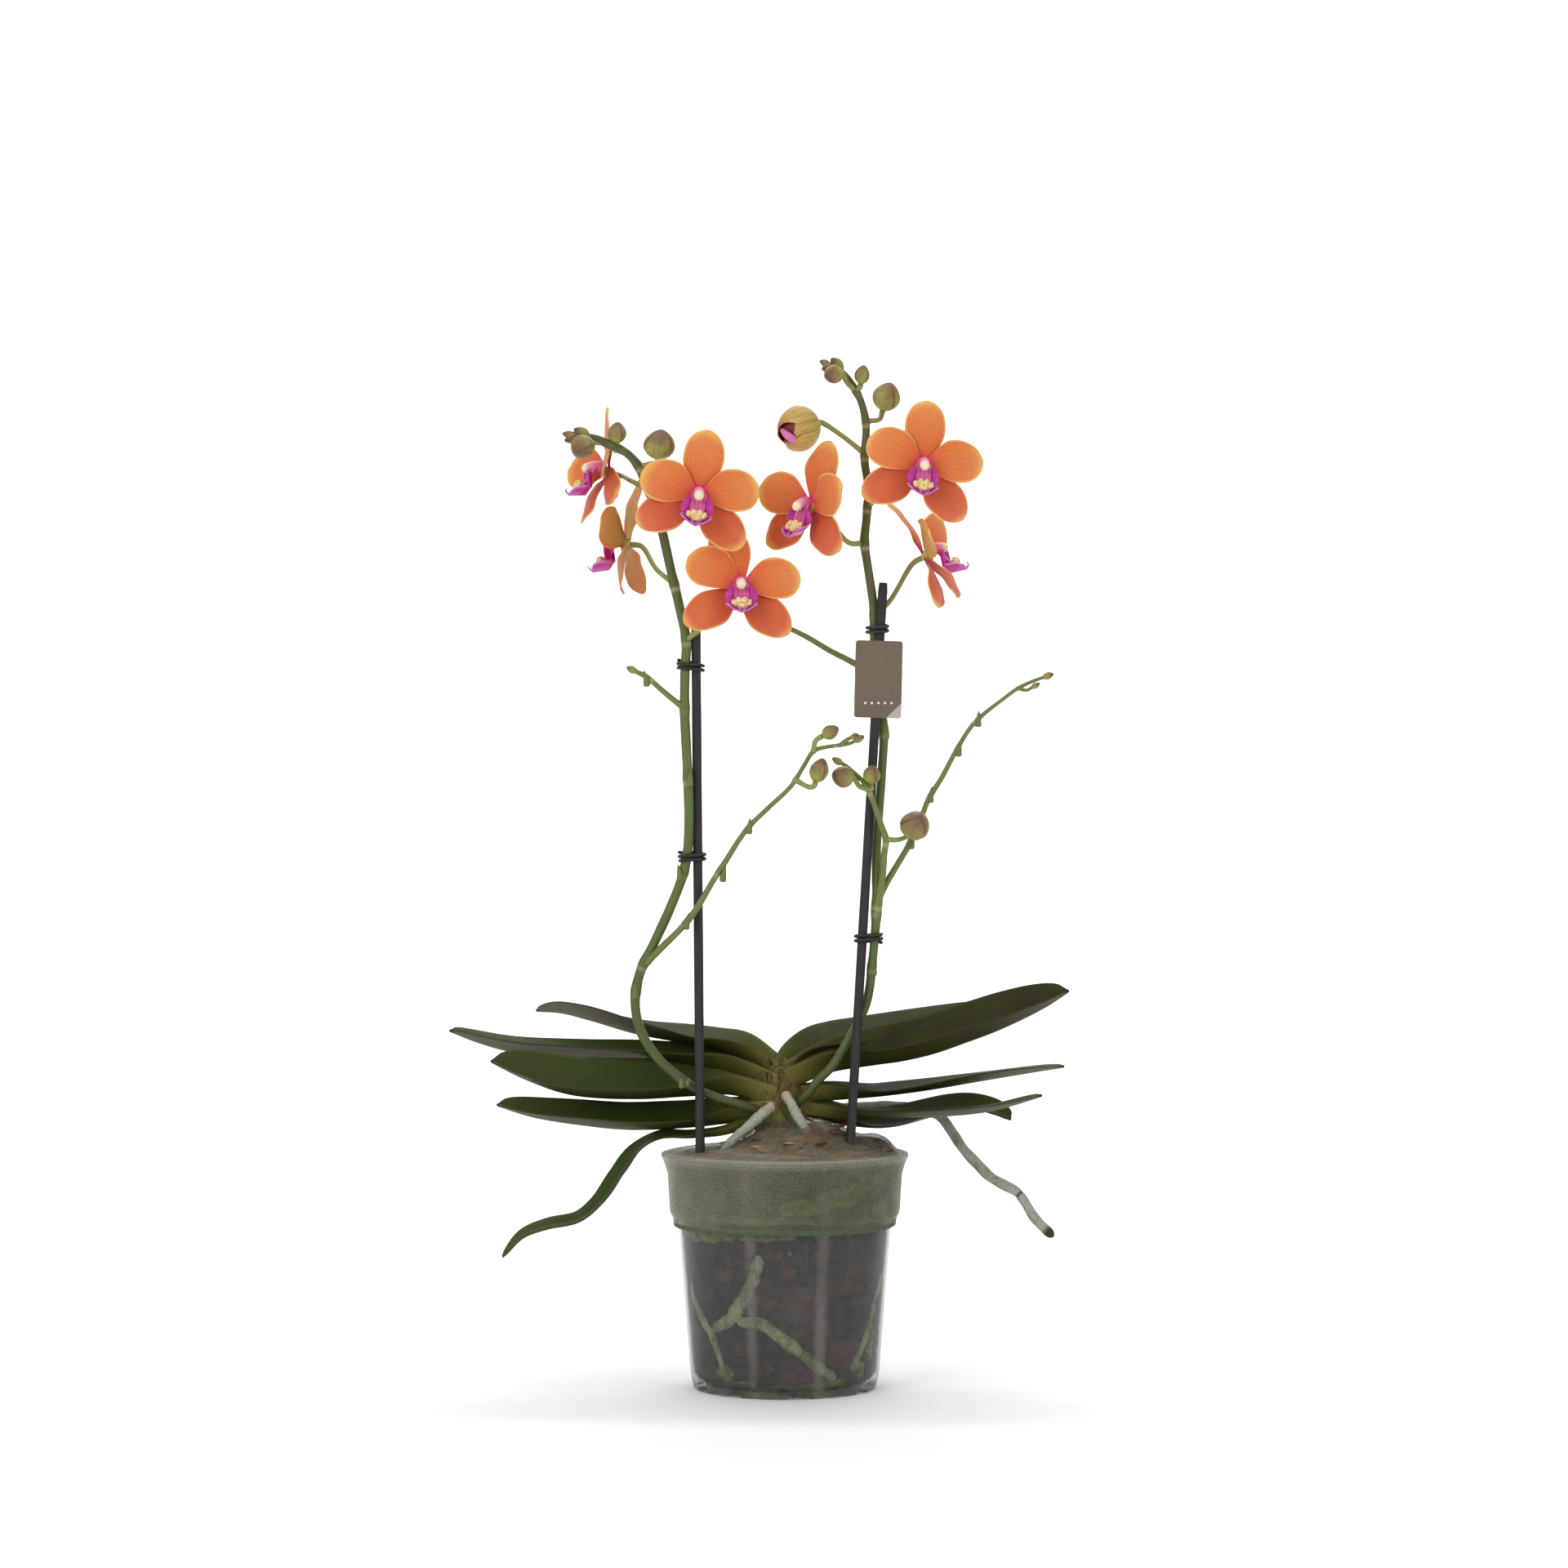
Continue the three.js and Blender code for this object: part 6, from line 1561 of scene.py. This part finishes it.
def tepal_outline(s, widest, tip):
    """Half width as a share: a sine opens it to the widest place, then a power of the rest closes it."""
    opened = 0.3 + 0.7 * np.sin(np.pi / 2 * np.minimum(1, s / widest)) ** 1.35
    rest = np.clip((s - widest) / (1 - widest), 0, 1)
    return np.maximum(0.012, opened * np.maximum(0, 1 - rest**tip) ** (1 / 2.05))


def tepal_blade(flower, shape, point, lift, size, salmon, seed):
    """The point at s and v: out along the tepal, half width x v across, and forward by a bow, a curl, a
    lift towards the tip, a shallow channel, a groove at the middle and a few soft waves near the edge. The
    half that leads, towards the top of the flower on a petal, is wider and widest nearer the throat."""
    middle, front, up, right = flower
    length = shape["length"]
    a = np.radians(point)
    out = up * np.cos(a) + right * np.sin(a)
    across = right * np.cos(a) - up * np.sin(a)
    s = 1 - (1 - np.linspace(0, 1, 40))[:, None] ** 1.5
    v = np.sin(np.linspace(-1, 1, 23) * np.pi / 2)[None, :]
    sides = shape["lead"], shape["trail"]
    lead, trail = (half * tepal_outline(s, widest, shape["tip"]) for half, widest in sides)
    width = size * np.where(v * np.sign(point or 1) * shape["leads"] > 0, lead, trail)
    bow = size * (1.6 * np.sin(np.pi * s) - shape["curl"] * s * s) + lift * s**1.3
    leaning = np.sqrt(1 - (min(abs(lift), 0.8 * length) / length) ** 2)
    phase = np.random.default_rng(seed).uniform(0, 6, 3)
    waves = 0.75 * np.sin(7 * s + phase[0] + 1.5 * v) * v * v + 0.35 * np.sin(15 * s + phase[1]) * v**4
    groove = -0.4 * bump(v, 0.1) * smooth((0.9 - s) / 0.5)
    forward = bow - shape["behind"] - 0.07 * width * v * v + waves * smooth(s / 0.3) + groove
    reach = leaning * size * (TEPAL_ROOT + (length - TEPAL_ROOT) * s)
    grid = middle + out * (reach * np.ones(v.shape))[..., None] + across * (width * v)[..., None]
    grid = grid + front * forward[..., None]
    thick = 0.3 + 0.75 * (1 - v**2) * (1 - 0.4 * s)
    return blade(grid, thick, front, along=s, across=v, salmon=salmon)


# %% Tepal velvet
def tepal_velvet():
    """Orange velvet. Base colours run along the tepal, and the lower sepals are redder near the throat.
    Faint veins fan out as a sine across it, and fine grains speckle it. Its end is yellow where a cloud and
    the edge add up, its rim turns cream towards the tip, a pink ring surrounds the throat, and the back is
    ochre."""
    f = Finish("tepal velvet", Sheen_Weight=0.08, Sheen_Roughness=0.4, Specular_IOR_Level=0.25)
    along, across, upper, salmon = f.fact("along"), f.fact("across"), f.fact("upper"), f.fact("salmon")
    edge = f.size_of(across)
    orange = f.ramp(
        along, (0, 222, 92, 78), (0.2, 220, 110, 56), (0.5, 224, 126, 66),
        (0.85, 227, 140, 80), (1, 232, 156, 96),
    )
    red = f.ramp(
        along, (0, 186, 48, 60), (0.22, 190, 70, 46), (0.5, 204, 92, 58),
        (0.85, 212, 106, 70), (1, 226, 138, 92),
    )
    drift, cloud = f.noise(90, detail=3), f.noise(38, detail=2)
    front = f.mix(f.times(salmon, f.between(drift, 0.25, 0.6, 0.6, 1)), orange, red)
    front = f.mix(f.between(cloud, 0.45, 0.7, 0, 0.35), front, (208, 84, 44))
    lines = f.wave(f.plus(f.times(across, 26.0), f.times(drift, 9.0)))
    veins = f.times(f.between(lines, 0.3, 1), f.between(along, 1, 0.15, 0.03, 0.24))
    front = f.mix(veins, front, (196, 72, 40))
    grains = f.between(f.noise(1500, detail=2), 0.42, 0.72, 0, 0.4)
    front = f.mix(grains, front, (204, 92, 56))
    sun = f.plus(f.plus(along, f.times(cloud, 0.5)), f.times(edge, 0.14))
    sun = f.minus(f.between(sun, 1.1, 1.34, 0, 0.7), f.times(salmon, 0.25), clamp=True)
    front = f.mix(sun, front, (240, 184, 88))
    outer = f.between(along, 0.25, 0.75, 0.25, 1)
    rim = f.between(f.plus(edge, f.times(drift, 0.12)), 0.93, 1.05, 0, 0.9)
    front = f.mix(f.times(rim, outer), front, (244, 200, 130))
    ragged = f.plus(along, f.times(drift, 0.08))
    front = f.mix(f.between(ragged, 0.95, 1.06, 0, 0.6), front, (246, 208, 120))
    front = f.mix(f.between(ragged, 0.22, 0.08, 0, 0.9), front, (222, 60, 112))
    back = f.ramp(
        along, (0, 196, 186, 100), (0.2, 196, 154, 72), (0.6, 208, 146, 70),
        (1, 224, 146, 76),
    )
    back = f.mix(f.between(edge, 0.55, 1, 0, 0.6), back, (222, 134, 68))
    back = f.mix(f.times(veins, 1.6), back, (170, 116, 52))
    back = f.mix(f.times(salmon, 0.4), back, (206, 110, 72))
    f.relief(f.plus(f.times(lines, 0.15), f.times(grains, 0.8)), 0.16)
    return f.done(f.mix(upper, back, front), drift, 0.55, 0.7)


TEPAL = tepal_velvet()


def tepal_shells(name, at, turn, nod, spin, size, points, lifts):
    """Five tepals and the cone behind them that meets the stalk."""
    flower = flower_frame(at, turn, nod, spin)
    middle, front = flower[:2]
    made = []
    for k, (shape, point, lift) in enumerate(zip(TEPALS, points, lifts)):
        salmon = 1.0 if k > 2 else 0.0
        made.append(tepal_blade(flower, shape, point, lift, size, salmon, sum(map(ord, name)) + k))
    back = [middle - front * FLOWER_BACK, middle - front * 1.2, middle + front * 0.9]
    heart = tube(back, lambda s: 1.5 + 2.1 * s, 8, 16, (0.3, 0.1), across=0.0, salmon=0.0, upper=0.0)
    heart["facts"]["along"] = heart["facts"]["along"] * 0.12
    return made + [heart]


# %% Lip finishes
def lip_skin():
    """Glossy magenta with darker veins, pink where it starts, and lilac at the rim and the front edge."""
    f = Finish("lip skin", Coat_Weight=0.15, Coat_Roughness=0.2, Specular_IOR_Level=0.45)
    along, across = f.fact("along"), f.fact("across")
    drift = f.noise(260, detail=3)
    colour = f.ramp(
        along, (0, 226, 120, 168), (0.22, 206, 40, 158), (0.7, 184, 22, 148),
        (0.9, 184, 40, 160), (1, 208, 112, 206),
    )
    lines = f.between(f.wave(f.times(across, 22.0)), 0.3, 1, 0, 0.45)
    colour = f.mix(lines, colour, (136, 10, 100))
    colour = f.mix(f.between(drift, 0.5, 0.75, 0, 0.5), colour, (222, 84, 186))
    rim = f.between(f.size_of(across), 0.82, 1, 0, 0.75)
    colour = f.mix(rim, colour, (222, 160, 222))
    f.relief(f.plus(lines, drift), 0.12)
    return f.done(colour, drift, 0.34, 0.5)


def column_skin():
    """Cream at the rounded cap and pink towards the throat."""
    f = Finish("column skin", Specular_IOR_Level=0.5, Coat_Weight=0.1)
    drift = f.noise(420, detail=3)
    colour = f.ramp(
        f.fact("along"), (0, 214, 56, 128), (0.5, 226, 110, 160), (0.82, 234, 176, 196),
        (0.95, 244, 224, 206), (1, 246, 228, 190),
    )
    colour = f.mix(f.between(drift, 0.5, 0.8, 0, 0.35), colour, (226, 160, 160))
    f.relief(drift, 0.1)
    return f.done(colour, drift, 0.36, 0.5)


def callus_skin():
    """The knobbly cream to ochre pad on the lip, speckled dark red."""
    f = Finish("callus skin", Specular_IOR_Level=0.4)
    specks = f.between(f.noise(1100, detail=2), 0.54, 0.62)
    pad = f.mix(f.noise(300), (250, 232, 176), (244, 206, 132))
    f.relief(f.noise(1200), 0.3)
    return f.done(f.mix(f.times(specks, 0.75), pad, (158, 40, 44)), specks, 0.4, 0.6, (0, 1))


LIP = [lip_skin(), column_skin(), callus_skin()]
LIP_AHEAD = 1.15


# %% Lip shells
def lip_shells(at, turn, nod, spin, size, **_):
    """Column, throat, a middle lobe like a boat that is open in front, two raised side lobes, the callus of
    six knobs and the two threads at the tip. place turns right, up and forward, in mm of a flower of size
    1, into points."""
    middle, front, up, right = flower_frame(at, turn, nod, spin)
    start = middle + front * LIP_AHEAD

    def place(r, u, f):
        r, u, f = np.broadcast_arrays(*(np.asarray(c, float) for c in (r, u, f)))
        return start + size * (r[..., None] * right + u[..., None] * up + f[..., None] * front)

    bow = [place(0, 1.7, -0.8), place(0, 1.5, 3), place(0, 0.5, 6), place(0, -1.1, 8)]
    width = lambda s: size * (2.9 - 0.75 * smooth(s) + 0.25 * bump(s - 0.93, 0.06))
    column = tube(bow, width, 26, 22, (0.3, 0.8), finish=1)
    s, v = np.linspace(0, 1, 34)[:, None], np.sin(np.linspace(-1, 1, 23) * np.pi / 2)[None, :]
    throat = place(3.6 * v, 0.6 - 10 * s, 2.6 + 3.6 * s + 1.1 * v * v)
    made = [column, blade(throat, size * 0.7, front, along=0.1 * s, across=0.5 * v)]
    w = 7.4 * (0.3 + 0.7 * smooth(s / 0.45)) * (1 - 0.16 * smooth((s - 0.8) / 0.2))
    keel = -12.8 - 2.4 * s - 0.5 * bump(v, 0.12)
    boat = place(w * v, keel + 4.6 * v * v * (1 - 0.2 * s), 4.6 + 8.4 * s - 1.8 * v * v)
    made.append(blade(boat, size * (0.45 + 0.5 * (1 - v * v)), front + up, along=s, across=v))
    for side in (1, -1):
        w = 2.4 * np.maximum(0.05, np.sin(np.pi * (0.14 + 0.8 * s)) ** 0.6)
        r = side * (4.4 + 0.9 * np.sin(np.pi * s) + w * v)
        ear = place(r, -9.2 + 7.2 * s - 0.4 * v * v, 5.4 + 2 * s + 0.9 * v - 1.6 * v * v)
        thick = size * (0.35 + 0.55 * (1 - v * v))
        made.append(blade(ear, thick, front, along=0.2 + 0.45 * s, across=0.8 * v))
        bends = ((0.5, -15.4, 13.0), (1.3, -14.4, 14.4), (2.2, -13.6, 14.8), (2.0, -12.6, 14.2))
        curl = [place(side * r, u, f) for r, u, f in bends]
        made.append(tube(curl, lambda q: size * (0.4 - 0.24 * q), 16, 8, across=0.9, along=0.8))
        for r, u, f in ((0.3, -11.6, 9.2), (0.7, -9.4, 9.6), (2.9, -10.4, 9.0)):
            knob = [place(side * r, u - 0.9, f), place(side * (r + 0.5), u, f + 0.5)]
            knob += [place(side * (r + 0.9), u + 0.9, f)]
            width = lambda q: size * (1.2 + 0.4 * np.sin(np.pi * q))
            made.append(tube(knob, width, 10, 12, (0.9, 0.9), finish=2))
    return made


for name, shape in FLOWERS.items():
    piece(f"{name}_tepals.velvet", tepal_shells(name, **shape), [TEPAL], f"{name}_tepals")
    piece(f"{name}_lip.lobes", lip_shells(**shape), LIP, f"{name}_lip")
print(len(FLOWERS), "flowers, each", round(2 * LATERAL["length"]), "mm across")

# %% [markdown]
# ## The flower that is opening
#
# One bud near the top has parted: its cream and ochre sepals still close round it like a cap, and a red
# mouth, darkened with painted shade, shows a magenta lip. Four curved blades share an egg's surface.
# Each covers a third of a turn or more, one is shorter, so that the mouth shows, and the lowest one hangs
# open.


# %% Opening bud
def opening_skin():
    """Ochre-cream outside with thin red-brown veins; inside, the sepals' red darkened with painted shade.
    """
    f = Finish("opening bud skin", Specular_IOR_Level=0.4, Coat_Weight=0.08)
    along, across, upper = f.fact("along"), f.fact("across"), f.fact("upper")
    drift = f.noise(150, detail=3)
    outside = f.ramp(
        along, (0, 142, 148, 62), (0.3, 180, 164, 74), (0.75, 198, 162, 90),
        (1, 180, 124, 80),
    )
    outside = f.mix(f.between(drift, 0.45, 0.75, 0, 0.6), outside, (196, 136, 92))
    veins = f.between(f.wave(f.plus(f.times(across, 24.0), drift)), 0.6, 1, 0, 0.4)
    outside = f.mix(veins, outside, (160, 104, 66))
    # painted shade: the red inner face darkened to near-black red, as the bud's mouth would be in shade
    inside = f.mix(drift, (92, 12, 20), (138, 30, 34))
    f.relief(f.plus(veins, drift), 0.25)
    return f.done(f.mix(upper, inside, outside), drift, 0.42, 0.6)


def opening_sepal(centre, spread, open_by, inset, full=1.0):
    """A part of an egg: s from base to tip, v across it. The angle is centre + spread x v, drawn in at both
    ends. inset is how far it lies inside the egg, open_by swings the tip outwards, and full is the share of
    the egg's length that it covers."""
    at, way = np.array(OPENING["at"], float), unit(np.array(OPENING["axis"], float))
    side = unit(np.cross(way, (0, 0, 1)))
    up = np.cross(side, way)
    s, v = np.linspace(0.01, 0.995, 36)[:, None] * full, np.linspace(-1, 1, 25)[None, :]
    drawn_in = 1.25 * np.sin(np.pi * np.clip(0.22 + 0.8 * s / full, 0, 1)) ** 0.55
    reach = np.radians(spread) * np.minimum(1, drawn_in)
    angle = np.radians(centre) + reach * v
    r = (OPENING["half"] - inset) * np.sin(np.pi * s**0.9) ** 0.6 + open_by * s**2
    line = at + way * (s[..., None] - 0.5) * OPENING["length"] * (1 - 0.05 * open_by * s[..., None] ** 2)
    grid = line + r[..., None] * (np.cos(angle)[..., None] * up + np.sin(angle)[..., None] * side)
    mean_out = np.cos(np.radians(centre)) * up + np.sin(np.radians(centre)) * side
    return blade(grid, 0.9 - 0.4 * v * v, mean_out, along=s, across=v)


sepals = [opening_sepal(10, 86, 0, 0.1), opening_sepal(-100, 60, 0, 0.7, 0.8)]
sepals += [opening_sepal(112, 62, 0, 0.5), opening_sepal(196, 58, 3.0, 0.2)]
# the inner egg takes the inside colour, so its dark red is painted shade filling the mouth
core = bud_shell(OPENING["at"], OPENING["axis"], OPENING["length"] * 0.84, OPENING["half"] * 0.8)
core["facts"] = dict(along=core["facts"]["along"])
piece("opening_bud.sepals", [*sepals, core], [opening_skin()], "opening_bud")
across_gap = ((-7.6, -5.6, -1.6), (-5.2, -7.2, -4), (-2, -7.4, -6.2), (0.8, -5.6, -7.6))
route = np.array(OPENING["at"]) + np.array(across_gap)
flat = lambda share, turn: 1 - 0.3 * np.sin(turn) ** 2
width = lambda s: 0.7 + 1.3 * np.sin(np.pi * (0.1 + 0.8 * s))
tongue = tube(list(route), width, 22, 16, squeeze=flat, across=0.88, along=0.1)
piece("opening_bud_lip.tongue", [tongue], LIP, "opening_bud_lip")
print("opening bud", OPENING["length"], "mm long")

# %% [markdown]
# ## Floor and light
#
# The plant was photographed on white in soft light from the front. A pale sweep runs from the floor up
# into a backdrop in one curve, so no horizon shows. A large key light stands in front to the left, a
# weaker one to the right, and the world gives an even fill. The pot's pale upright bands, where these
# two lights would be reflected, are painted into its plastic.


# %% Sweep
def sweep():
    """A profile extruded sideways: flat floor, a quarter circle, and an upright wall."""
    bend = np.linspace(0, np.pi / 2, 24)
    y = np.concatenate([[-3000, 500], 1200 + 900 * np.sin(bend), [2100]])
    z = np.concatenate([[0, 0], 900 * (1 - np.cos(bend)), [4200]])
    x = np.linspace(-3600, 3600, 9)
    grid = np.stack(np.broadcast_arrays(x[None, :], y[:, None], z[:, None]), axis=-1)
    f = Finish("pale studio paper", Specular_IOR_Level=0.1)
    fibres = f.noise(300, detail=3)
    paper = f.done(f.mix(fibres, (249, 249, 249), (253, 253, 253)), fibres, 0.85, 0.95, (0, 1))
    faces = grid_faces(*grid.shape[:2])[:, ::-1].tolist()
    return shown("sweep", mesh_of("sweep", grid.reshape(-1, 3), faces, {}, [paper]))


sweep()


# %% Lights
def soft_box(name, place, aim, wide, tall, watts):
    """A rectangle of light at a place, turned so that it looks at a point."""
    light = bpy.data.lights.new(name, "AREA")
    light.shape, light.size, light.size_y, light.energy = "RECTANGLE", wide, tall, watts
    made = shown(name, light)
    made.location = place
    away = np.array(aim, float) - np.array(place, float)
    flat = np.hypot(away[0], away[1])
    made.rotation_euler = (np.arctan2(flat, -away[2]), 0, np.arctan2(away[1], away[0]) - np.pi / 2)


soft_box("key", (-1.45, -1.9, 1.2), (0, 0, 0.28), 0.9, 1.8, 19)
soft_box("fill", (1.7, -1.85, 0.9), (0, 0, 0.28), 0.8, 1.6, 10)
soft_box("over", (0.1, 0.1, 2.2), (0, 0, 0.2), 1.6, 1.6, 11)
soft_box("backdrop", (0, 1.0, 1.9), (0, 2.1, 0.45), 2.6, 0.7, 32)
world = bpy.data.worlds.new("studio") if bpy.context.scene.world is None else bpy.context.scene.world
bpy.context.scene.world = world
world.use_nodes = True
world.node_tree.nodes["Background"].inputs["Color"].default_value = (1, 1, 1, 1)
world.node_tree.nodes["Background"].inputs["Strength"].default_value = 0.5
